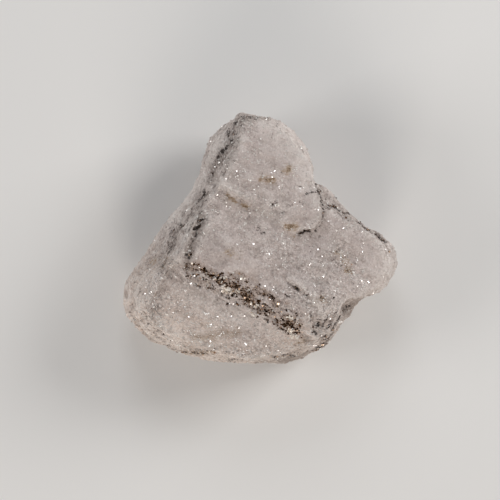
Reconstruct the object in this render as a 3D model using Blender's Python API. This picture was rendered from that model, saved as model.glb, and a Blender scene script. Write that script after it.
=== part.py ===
"""A hand-sized pyrite specimen: a pale granular stone that carries a band of small pyrite crystals.

Lengths in this script are in millimetres, and are turned into metres as each mesh is made.
The stone lies on its flat underside, with +Z up. X runs across it, towards its pointed lobe,
and Y runs towards its tall rounded lobe. The origin is under the middle of its bounding box.
"""

import math
import random

import bmesh
import bpy
import numpy as np
from mathutils import Vector, geometry, noise

MM = 0.001

# The height of the upper face, the thickness of the pyrite crust and the gap round the crust.
FACE_HEIGHT = 25.0
BAND_THICKNESS = 1.0
CLEARANCE = 0.3

# The stone seen from above: its widest outline, clockwise from the tall lobe's tip.
RIM_OUTLINE = [
    (-4.0, 28.1), (0.0, 27.4), (3.1, 26.9), (6.4, 24.8), (8.8, 22.0), (10.4, 17.5), (11.3, 15.1),
    (11.8, 12.9), (15.4, 11.5), (17.8, 8.1), (21.1, 4.9), (24.4, 2.2), (27.6, -0.1), (29.6, -1.1),
    (31.0, -4.0), (30.2, -7.5), (27.9, -11.2), (23.4, -13.3), (20.4, -16.6), (17.8, -20.2),
    (14.8, -23.6), (10.7, -26.8), (5.0, -27.9), (-4.6, -28.0), (-13.0, -27.2), (-19.5, -25.1),
    (-25.3, -22.2), (-30.0, -17.6), (-30.9, -12.7), (-30.2, -9.0), (-26.7, -4.7), (-23.7, 0.9),
    (-20.4, 5.4), (-17.7, 8.6), (-14.9, 12.0), (-12.2, 19.4), (-10.8, 23.2), (-7.8, 26.1),
]

# Where the upper faces end and the flanks begin, seen from above in the same order.
SHOULDER_OUTLINE = [
    (-3.5, 26.9), (2.0, 26.3), (5.6, 23.8), (9.0, 18.6), (10.8, 15.2), (11.7, 12.6), (12.7, 9.8),
    (14.9, 7.5), (19.7, 5.3), (23.8, 2.1), (28.0, -1.3), (28.8, -4.7), (27.8, -8.1), (23.6, -11.8),
    (19.4, -13.6), (17.2, -16.6), (14.2, -20.4), (10.6, -23.0), (4.0, -25.1), (-6.0, -25.2),
    (-15.0, -23.4), (-22.4, -20.4), (-24.2, -17.2), (-23.4, -13.4), (-20.6, -8.4), (-17.2, -3.6),
    (-15.0, 0.6), (-13.4, 4.6), (-9.8, 10.2), (-8.9, 13.6), (-6.6, 19.2), (-5.3, 23.8),
]

# How the flanks fall: (direction in degrees from +X, height of the widest outline, roundness).
# Roundness over 1 swells, 1 is a straight bevel, and under 1 leaves a shelf under a steep edge.
FLANKS = [
    (10, 11.0, 1.2), (22, 12.0, 0.55), (34, 13.5, 0.4), (47, 13.0, 0.6), (56, 12.0, 2.6),
    (80, 13.0, 2.2), (96, 16.0, 0.6), (110, 12.0, 1.3), (135, 10.5, 1.25), (160, 9.0, 1.3),
    (185, 8.0, 1.35), (205, 8.0, 1.7), (225, 7.0, 1.6), (262, 7.0, 1.5), (300, 7.0, 1.7),
    (320, 7.5, 0.8), (334, 9.0, 1.6), (352, 10.0, 2.0),
]
LEDGED_FLANK = (118, 222)
LEDGE_DEPTH = 0.09

# The underside narrows from the widest outline to the flat that the stone lies on.
FOOT_SHARE = 0.46
BELOW_FLOOR = 1.2

# Flat faces where pieces have split off: (direction in degrees from +X, slope up from level, depth).
SPLITS = [
    (12, -46, 1.6), (40, -30, 0.8), (66, -54, 2.0), (102, -44, 1.4), (138, -56, 2.0), (172, -44, 0.9),
    (206, -58, 1.6), (236, -44, 0.8), (264, -54, 1.8), (292, -40, 1.2), (324, -52, 1.8), (350, -34, 0.8),
    (248, 16, 0.8), (284, 26, 1.2), (306, 12, 0.8), (8, 22, 0.9), (74, 18, 0.7),
]

# The band of pyrite: a line along its middle, and its outline seen from above.
BAND_LINE = ((-18.0, -6.2), (9.6, -20.6))
BAND_OUTLINE = [
    (-17.2, -6.6), (-14.6, -5.3), (-10.5, -6.6), (-5.2, -7.8), (-0.4, -9.4), (3.6, -12.2),
    (7.2, -15.0), (9.4, -18.2), (9.3, -21.6), (6.4, -21.6), (2.6, -19.0), (-2.4, -15.9),
    (-7.4, -13.0), (-12.4, -11.2), (-16.2, -9.0),
]
BAND_STEP = 1.9
CRYSTAL_EDGES = (1.15, 0.9, 0.7, 0.5)
CRYSTAL_TRIES = 1500
CRYSTAL_SEED = 7

# The rounded flake that lies on the upper face, next to the pointed lobe.
FLAKE_EDGE = [
    (8.6, 11.4), (12.3, 10.6), (13.4, 8.8), (13.9, 6.4), (13.2, 3.4), (11.6, 1.9), (8.6, 1.3), (5.6, 0.6),
]
FLAKE_RISE = 0.8
# Thin ledges broken across the corner between the band and the pointed lobe.
CORNER_LEDGES = [
    [(4.6, -8.6), (8.0, -10.6), (10.6, -12.6), (12.6, -15.6), (13.4, -19.0)],
    [(12.6, -10.6), (15.0, -13.4), (16.2, -16.4), (15.6, -19.6)],
]
CORNER_LEDGE_DROP = 0.5
# The step between the tall lobe and the middle of the upper face.
LOBE_STEP = [(-11.0, 12.6), (-7.4, 10.2), (-3.2, 8.0), (1.6, 7.2), (6.0, 6.0)]
LOBE_STEP_DROP = 1.1
# Grooves weathered along the stone's layers: (line seen from above, width, depth).
GROOVES = [
    ([(-5.6, 24.4), (-7.2, 20.8), (-9.4, 18.2), (-11.3, 16.0), (-11.4, 13.5)], 0.9, 0.8),
    ([(-12.6, 10.6), (-15.4, 6.2), (-19.3, 2.4), (-20.5, -1.6), (-22.3, -6.3)], 0.9, 0.9),
    ([(-12.6, 4.5), (-14.6, 2.2), (-15.2, -0.3), (-16.4, -4.2)], 0.8, 0.6),
    ([(-19.5, -5.5), (-21.3, -10.5), (-23.8, -14.0), (-24.6, -18.5), (-21.5, -23.3)], 1.0, 0.6),
    ([(6.2, -9.8), (8.2, -11.0), (10.6, -12.8)], 0.6, 0.35),
    ([(14.6, 7.8), (16.7, 7.0), (19.4, 5.8)], 0.9, 0.8),
]
# Pits where grains have fallen out: (x, y, radius, depth).
PITS = [
    (-28.6, -14.8, 1.2, 0.7), (-27.6, -18.2, 1.1, 0.6), (12.8, -19.2, 1.3, 0.8), (14.2, 9.2, 1.0, 0.6),
    (13.6, -22.0, 1.1, 0.7), (4.4, -19.9, 0.9, 0.6), (1.2, -18.4, 0.9, 0.5), (19.4, -15.6, 1.0, 0.7),
]

STATIONS = 216
FLANK_RINGS = 12
FACE_RINGS = 26
UNDERSIDE_RINGS = 12
STONE_TRIANGLES = 7600

STONE_COLOUR = (0.62, 0.56, 0.53, 1.0)
PYRITE_COLOUR = (0.50, 0.40, 0.22, 1.0)


def clear_scene():
    for obj in list(bpy.data.objects):
        bpy.data.objects.remove(obj)


def make_material(name, colour, roughness, metallic):
    material = bpy.data.materials.new(name)
    material.use_nodes = True
    shader = material.node_tree.nodes["Principled BSDF"]
    shader.inputs["Base Color"].default_value = colour
    shader.inputs["Roughness"].default_value = roughness
    shader.inputs["Metallic"].default_value = metallic
    return material


def smooth_closed(points, count):
    """A closed curve through the points, as count points evenly spread over their spans."""
    ring = np.array(points)
    before, after, beyond = np.roll(ring, 1, 0), np.roll(ring, -1, 0), np.roll(ring, -2, 0)
    where = np.arange(count) * len(ring) / count
    span = where.astype(int)
    t = (where - span)[:, None]
    a, b, c, d = before[span], ring[span], after[span], beyond[span]
    return 0.5 * (
        2 * b + (c - a) * t + (2 * a - 5 * b + 4 * c - d) * t**2 + (3 * b - a - 3 * c + d) * t**3
    )


def radius_towards(outline, angles):
    """How far a closed outline round the origin lies from it in each direction, in radians."""
    curve = smooth_closed(outline, 20 * len(outline))
    heading = np.arctan2(curve[:, 1], curve[:, 0]) % math.tau
    order = np.argsort(heading)
    return np.interp(angles, heading[order], np.hypot(*curve.T)[order], period=math.tau)


def blend(value, low, high):
    """0 below low, 1 above high, and a smooth rise between them."""
    t = np.clip((value - low) / (high - low), 0, 1)
    return t * t * (3 - 2 * t)


def ramp(value, softness):
    """0 below nought and the value itself above it, with a soft bend between."""
    return softness * np.logaddexp(0, value / softness)


def beside(line, x, y):
    """How far the points lie to the right of an open line, and how far along it, from 0 to 1."""
    line = np.array(line, float)
    nearest = np.full(np.shape(x), np.inf)
    side = np.zeros(np.shape(x))
    along = np.zeros(np.shape(x))
    lengths = np.hypot(*np.diff(line, axis=0).T)
    done = 0.0
    for start, end, length in zip(line[:-1], line[1:], lengths):
        ahead = (end - start) / length
        reach = np.clip((x - start[0]) * ahead[0] + (y - start[1]) * ahead[1], 0, length)
        away_x, away_y = x - start[0] - ahead[0] * reach, y - start[1] - ahead[1] * reach
        distance = np.hypot(away_x, away_y)
        closer = distance < nearest
        turn = np.sign(away_x * ahead[1] - away_y * ahead[0])
        nearest = np.where(closer, distance, nearest)
        side = np.where(closer, turn * distance, side)
        along = np.where(closer, (done + reach) / lengths.sum(), along)
        done += length
    return side, along


def step_down(line, x, y, drop, width, reach):
    """A ledge along an open line: the ground to its right is lower, and rises again over reach."""
    side, along = beside(line, x, y)
    ends = blend(along, 0.0, 0.15) * (1 - blend(along, 0.85, 1.0))
    return drop * blend(side, -width / 2, width / 2) * (1 - blend(side, width, reach)) * ends


def face_height(x, y):
    """Height of the stone's upper faces over the floor."""
    height = FACE_HEIGHT - 0.8 + 0.02 * y
    height = height - 0.15 * ramp(y - 12.0, 2.5)
    height = height - 0.21 * ramp(x - 9.0, 3.0)
    below_band, _ = beside(BAND_LINE, x, y)
    height = height - BAND_STEP * blend(below_band, -2.2, 2.4)
    height = height - 0.19 * ramp(below_band - 2.0, 1.5)
    towards_corner = 0.62 * x - 0.78 * y
    height = height - 0.42 * ramp(towards_corner - 20.5, 1.8)
    height = height - step_down(FLAKE_EDGE[::-1], x, y, FLAKE_RISE, 1.0, 7.0)
    for line in CORNER_LEDGES:
        height = height - step_down(line[::-1], x, y, -CORNER_LEDGE_DROP, 0.9, 4.0)
    height = height - step_down(LOBE_STEP, x, y, LOBE_STEP_DROP, 3.0, 9.0)
    return height


def flank_values(angles):
    """Height of the widest outline and roundness of the flank, in each direction."""
    at, heights, rounds = np.array(FLANKS, float).T
    return (
        np.interp(angles, np.radians(at), heights, period=math.tau),
        np.interp(angles, np.radians(at), rounds, period=math.tau),
    )


def stone_rings():
    """Rings of points over the stone: up its underside, over its flanks and in to its middle."""
    angles = np.arange(STATIONS) * math.tau / STATIONS
    ahead = np.stack([np.cos(angles), np.sin(angles)], 1)
    rim, shoulder = radius_towards(RIM_OUTLINE, angles), radius_towards(SHOULDER_OUTLINE, angles)
    rim_height, roundness = flank_values(angles)
    degrees = np.degrees(angles)
    ledged = blend(degrees, LEDGED_FLANK[0], LEDGED_FLANK[0] + 15)
    ledged = ledged * (1 - blend(degrees, LEDGED_FLANK[1] - 15, LEDGED_FLANK[1]))
    rings = []
    for step in range(UNDERSIDE_RINGS, 0, -1):
        turn = step / UNDERSIDE_RINGS * math.pi / 2
        radius = rim * (FOOT_SHARE + (1 - FOOT_SHARE) * math.cos(turn))
        height = rim_height - (rim_height + BELOW_FLOOR) * math.sin(turn)
        rings.append((radius, height))
    edge = shoulder[:, None] * ahead
    shoulder_height = face_height(*edge.T)
    for step in range(FLANK_RINGS):
        t = step / FLANK_RINGS
        rise = 1 - (1 - t) ** roundness - ledged * LEDGE_DEPTH * math.sin(math.tau * t)
        rings.append((rim + (shoulder - rim) * t, rim_height + (shoulder_height - rim_height) * rise))
    for step in range(FACE_RINGS):
        radius = shoulder * (1 - step / FACE_RINGS)
        rings.append((radius, face_height(radius * ahead[:, 0], radius * ahead[:, 1])))
    return [np.column_stack([radius[:, None] * ahead, height]) for radius, height in rings]


def worn_depth(x, y):
    """How deep the grooves and pits are at each point, seen from above."""
    depth = np.zeros(len(x))
    for line, width, deepest in GROOVES:
        depth = np.maximum(depth, deepest * np.exp(-((beside(line, x, y)[0] / width) ** 2)))
    for pit_x, pit_y, radius, deepest in PITS:
        depth = np.maximum(depth, deepest * np.exp(-((x - pit_x) ** 2 + (y - pit_y) ** 2) / radius**2))
    return depth


def split_off(mesh_data):
    """Presses what stands past each split back on to its flat face."""
    for direction, slope, depth in SPLITS:
        turn, tilt = math.radians(direction), math.radians(slope)
        level = math.cos(tilt)
        facing = Vector((level * math.cos(turn), level * math.sin(turn), math.sin(tilt)))
        flat = max(vert.co @ facing for vert in mesh_data.verts) - depth * MM
        for vert in mesh_data.verts:
            past = vert.co @ facing - flat
            if past > 0:
                vert.co -= facing * past * 0.9


def roughen(mesh_data):
    """Moves each point of the mesh in or out a little, as a broken surface is uneven."""
    mesh_data.normal_update()
    places = np.array([vert.co / MM for vert in mesh_data.verts])
    rim_height, _ = flank_values(np.arctan2(places[:, 1], places[:, 0]) % math.tau)
    off_rim = blend(abs(places[:, 2] - rim_height), 0.5, 5.0)
    moved = []
    for vert, worn, free in zip(mesh_data.verts, worn_depth(places[:, 0], places[:, 1]), off_rim):
        place = vert.co / MM
        steepness = 1 - abs(vert.normal.z)
        lumps = 0.40 * noise.noise(place / 6.5) + 0.26 * noise.noise(place / 2.6 + Vector((9, 2, 4)))
        hollows = 2.2 * noise.noise(place / 13.0 + Vector((3, 7, 1))) * free * blend(steepness, 0.2, 0.6)
        layers = noise.noise(Vector((place.x / 6.0, place.y / 6.0, place.z / 1.4)))
        worn = worn * blend(vert.normal.z, -0.2, 0.3)
        moved.append(vert.co + vert.normal * (lumps + hollows + 0.5 * steepness * layers - worn) * MM)
    for vert, place in zip(mesh_data.verts, moved):
        vert.co = place


def mesh_object(name, mesh_data, material):
    bmesh.ops.recalc_face_normals(mesh_data, faces=mesh_data.faces)
    mesh = bpy.data.meshes.new(name)
    mesh_data.to_mesh(mesh)
    mesh_data.free()
    obj = bpy.data.objects.new(name, mesh)
    bpy.context.scene.collection.objects.link(obj)
    if material:
        mesh.materials.append(material)
    return obj


def make_stone(material):
    shape = bmesh.new()
    rings = [[shape.verts.new(point * MM) for point in ring] for ring in stone_rings()]
    for lower, upper in zip(rings, rings[1:]):
        for i in range(STATIONS):
            j = (i + 1) % STATIONS
            shape.faces.new((lower[i], lower[j], upper[j], upper[i]))
    top = shape.verts.new(Vector((0, 0, float(face_height(0.0, 0.0)))) * MM)
    foot = shape.verts.new(Vector((0, 0, -BELOW_FLOOR)) * MM)
    for i in range(STATIONS):
        j = (i + 1) % STATIONS
        shape.faces.new((rings[-1][i], rings[-1][j], top))
        shape.faces.new((rings[0][j], rings[0][i], foot))
    split_off(shape)
    roughen(shape)
    return mesh_object("rock_matrix", shape, material)


def cutter(obj):
    obj.hide_render = True
    obj.display_type = "WIRE"
    return obj


def make_floor_cutter():
    """A slab whose top is the floor: what it takes away leaves the stone's flat underside."""
    shape = bmesh.new()
    bmesh.ops.create_cube(shape, size=1.0)
    for vert in shape.verts:
        vert.co = Vector((vert.co.x * 90, vert.co.y * 90, (vert.co.z - 0.5) * 10)) * MM
    return cutter(mesh_object("floor_cutter", shape, None))


def band_outline(grown):
    """The band's outline, grown outwards by that much."""
    curve = smooth_closed(BAND_OUTLINE, 5 * len(BAND_OUTLINE))
    along = np.roll(curve, -1, 0) - np.roll(curve, 1, 0)
    outwards = np.column_stack([-along[:, 1], along[:, 0]]) / np.hypot(*along.T)[:, None]
    return curve + grown * outwards


def inside(outline, x, y):
    """Whether a point lies inside a closed outline."""
    crossings = 0
    for (ax, ay), (bx, by) in zip(outline, np.roll(outline, -1, 0)):
        if (ay > y) != (by > y) and x < ax + (y - ay) * (bx - ax) / (by - ay):
            crossings += 1
    return crossings % 2 == 1


def scatter_crystals(outline):
    """The crystals in the band, none touching another or the edge: (x, y, radius of foot, turn)."""
    chance = random.Random(CRYSTAL_SEED)
    low, high = outline.min(0), outline.max(0)
    placed = []
    for attempt in range(CRYSTAL_TRIES):
        edge = CRYSTAL_EDGES[attempt * len(CRYSTAL_EDGES) // CRYSTAL_TRIES]
        x, y = chance.uniform(low[0], high[0]), chance.uniform(low[1], high[1])
        foot, turn = edge * math.sqrt(2 / 3), chance.uniform(0, math.tau)
        edge_gap = abs(beside(np.vstack([outline, outline[:1]]), x, y)[0])
        clear = all(math.hypot(x - px, y - py) > foot + pf + 0.03 for px, py, pf, _ in placed)
        if inside(outline, x, y) and edge_gap > foot + 0.1 and clear:
            placed.append((x, y, foot, turn))
    return placed


def crystal_points(x, y, foot, turn):
    """A cube's corner that stands out of the ground: its tip and the three points at its foot."""
    corners = [
        (x + foot * math.cos(turn + k * math.tau / 3), y + foot * math.sin(turn + k * math.tau / 3))
        for k in range(3)
    ]
    lean = 0.25 * foot
    tip = (x + lean * math.cos(2 * turn), y + lean * math.sin(2 * turn))
    return tip, corners


def make_band(material):
    """The crust of pyrite: cube corners over a thin plate that follows the stone's surface."""
    outline = band_outline(-CLEARANCE / 2)
    flat = [Vector(point) for point in outline]
    rise = [0.0] * len(flat)
    edges = [(i, (i + 1) % len(flat)) for i in range(len(flat))]
    rim_edges = list(edges)
    for x, y, foot, turn in scatter_crystals(outline):
        tip, corners = crystal_points(x, y, foot, turn)
        first = len(flat)
        flat += [Vector(tip), *map(Vector, corners)]
        rise += [foot / math.sqrt(2), 0.0, 0.0, 0.0]
        edges += [(first, first + 1), (first, first + 2), (first, first + 3)]
        edges += [(first + 1, first + 2), (first + 2, first + 3), (first + 3, first + 1)]
    points, _, faces, sources, *_ = geometry.delaunay_2d_cdt(flat, edges, [], 0, 1e-6)
    shape = bmesh.new()
    plane = np.array([tuple(point) for point in points])
    ground = face_height(*plane.T)
    upper = [
        shape.verts.new(Vector((x, y, z + max((rise[i] for i in made_from), default=0.0))) * MM)
        for (x, y), z, made_from in zip(plane, ground, sources)
    ]
    lower = [
        shape.verts.new(Vector((x, y, z - BAND_THICKNESS)) * MM)
        for (x, y), z in zip(plane[: len(rim_edges)], ground)
    ]
    for face in faces:
        if inside(outline, *plane[list(face)].mean(0)):
            shape.faces.new([upper[i] for i in face])
    for i, j in rim_edges:
        shape.faces.new((upper[i], lower[i], lower[j], upper[j]))
    shape.faces.new(lower)
    bmesh.ops.triangulate(shape, faces=[face for face in shape.faces if len(face.verts) > 4])
    return mesh_object("pyrite_band", shape, material)


def make_trough_cutter():
    """The space that the pyrite takes up in the stone, with the clearance round it."""
    outline = band_outline(CLEARANCE)
    ground = face_height(*outline.T)
    shape = bmesh.new()
    floor = [
        shape.verts.new(Vector((x, y, z - BAND_THICKNESS - CLEARANCE)) * MM)
        for (x, y), z in zip(outline, ground)
    ]
    lid = [shape.verts.new(Vector((x, y, FACE_HEIGHT + 8.0)) * MM) for x, y in outline]
    for i in range(len(outline)):
        j = (i + 1) % len(outline)
        shape.faces.new((floor[i], floor[j], lid[j], lid[i]))
    shape.faces.new(floor)
    shape.faces.new(lid)
    bmesh.ops.triangulate(shape, faces=[face for face in shape.faces if len(face.verts) > 4])
    return cutter(mesh_object("trough_cutter", shape, None))


def cut(obj, tool):
    modifier = obj.modifiers.new("cut_" + tool.name, "BOOLEAN")
    modifier.operation = "DIFFERENCE"
    modifier.solver = "EXACT"
    modifier.object = tool


def lighten(obj, triangles):
    """Merges triangles where the surface is nearly flat, down to that many."""
    obj.data.calc_loop_triangles()
    modifier = obj.modifiers.new("lighten", "DECIMATE")
    modifier.ratio = triangles / len(obj.data.loop_triangles)


def main():
    clear_scene()
    stone = make_stone(make_material("granular_stone", STONE_COLOUR, 0.75, 0.0))
    lighten(stone, STONE_TRIANGLES)
    cut(stone, make_floor_cutter())
    cut(stone, make_trough_cutter())
    make_band(make_material("pyrite", PYRITE_COLOUR, 0.35, 1.0))


main()
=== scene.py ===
import math
import random

import bmesh
import bpy
import numpy as np
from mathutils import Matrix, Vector, noise


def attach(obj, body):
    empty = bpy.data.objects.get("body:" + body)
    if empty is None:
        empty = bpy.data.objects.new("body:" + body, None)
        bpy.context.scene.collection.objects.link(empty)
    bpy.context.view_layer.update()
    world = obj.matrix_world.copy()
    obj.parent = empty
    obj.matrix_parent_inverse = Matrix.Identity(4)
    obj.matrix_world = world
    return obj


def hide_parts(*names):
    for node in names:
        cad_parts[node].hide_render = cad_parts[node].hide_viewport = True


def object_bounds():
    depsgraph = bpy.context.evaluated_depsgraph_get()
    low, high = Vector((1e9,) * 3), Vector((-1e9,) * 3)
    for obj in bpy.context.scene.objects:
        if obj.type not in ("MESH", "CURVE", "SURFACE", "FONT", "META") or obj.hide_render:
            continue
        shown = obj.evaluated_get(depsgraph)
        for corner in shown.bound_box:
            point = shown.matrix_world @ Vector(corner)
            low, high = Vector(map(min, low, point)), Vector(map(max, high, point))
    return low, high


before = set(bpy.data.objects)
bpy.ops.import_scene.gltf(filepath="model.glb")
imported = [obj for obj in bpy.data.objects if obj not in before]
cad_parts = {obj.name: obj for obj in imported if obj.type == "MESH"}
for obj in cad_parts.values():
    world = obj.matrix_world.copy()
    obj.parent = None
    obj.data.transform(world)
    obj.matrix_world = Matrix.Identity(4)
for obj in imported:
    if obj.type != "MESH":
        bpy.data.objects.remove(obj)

mm = 0.001
sameSpot = 1e-6   # metres: points nearer than this are one
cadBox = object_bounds()
boxLow, boxHigh = (np.array(corner) / mm for corner in cadBox)
scene = bpy.context.scene


def newObject(name, mesh):
    obj = bpy.data.objects.new(name, mesh)
    scene.collection.objects.link(obj)
    return obj


def finishedMesh(obj):
    # the mesh that the modifiers make, with the modifiers taken off
    graph = bpy.context.evaluated_depsgraph_get()
    mesh = bpy.data.meshes.new_from_object(obj.evaluated_get(graph), depsgraph=graph)
    obj.modifiers.clear()
    obj.data = mesh
    return mesh


stoneShape = {
    "voxel": 0.25 * mm,
    "smoothing": 6,
    "triangles": 146000,
    "fillerReach": 0.6 * mm,   # how far the fill under the pyrite overlaps the stone round it
    "fillerDepth": 1.0 * mm,
    "grainRelief": 0.070,      # millimetres from here on
    "chipRelief": 0.14,
    "facetSizes": (7.0, 2.6),
    "facetRelief": (0.9, 0.42),
    "layerRelief": 0.30,
    "flowRelief": 0.10,
    "undersideRelief": 0.10,
    "darkDepth": 0.30,
    "softDepth": 0.16,
    "clumpDepth": 0.20,
    "rustDepth": 0.06,
    "seamDepth": 0.20,
    "bandDepth": 0.06,
    "lightHeight": 0.14,
    "seamHeights": (21.2, 16.6, 11.0),
    "seamThickness": 0.38,
    "wornRounds": 160,         # more rounds wear the edges rounder
    "mostOut": 0.18,
    "shrink": 0.05,
}


def stoneShell():
    # the solid stone with the hollow under its pyrite filled, as one even skin
    work = bmesh.new()
    work.from_mesh(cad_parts["pyrite_band"].data)
    bmesh.ops.remove_doubles(work, verts=work.verts, dist=sameSpot)
    work.normal_update()
    rimBelow = [vert for vert in work.verts if vert.normal.z < -0.1]
    for vert in rimBelow:
        outwards = Vector((vert.normal.x, vert.normal.y, 0)).normalized() * stoneShape["fillerReach"]
        for edge in vert.link_edges:
            above = edge.other_vert(vert)
            if (above.co.xy - vert.co.xy).length < 0.02 * mm:   # the edge goes straight up
                above.co += outwards
        vert.co += outwards
        vert.co.z -= stoneShape["fillerDepth"]
    work.from_mesh(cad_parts["rock_matrix"].data)
    bmesh.ops.remove_doubles(work, verts=work.verts, dist=sameSpot)
    mesh = bpy.data.meshes.new("stoneSkin")
    work.to_mesh(mesh)
    work.free()
    obj = newObject("stone_surface", mesh)
    remesh = obj.modifiers.new("skin", "REMESH")
    remesh.mode = "VOXEL"
    remesh.voxel_size = stoneShape["voxel"]
    soften = obj.modifiers.new("soften", "SMOOTH")
    soften.factor = 0.5
    soften.iterations = stoneShape["smoothing"]
    finishedMesh(obj)
    return obj


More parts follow.
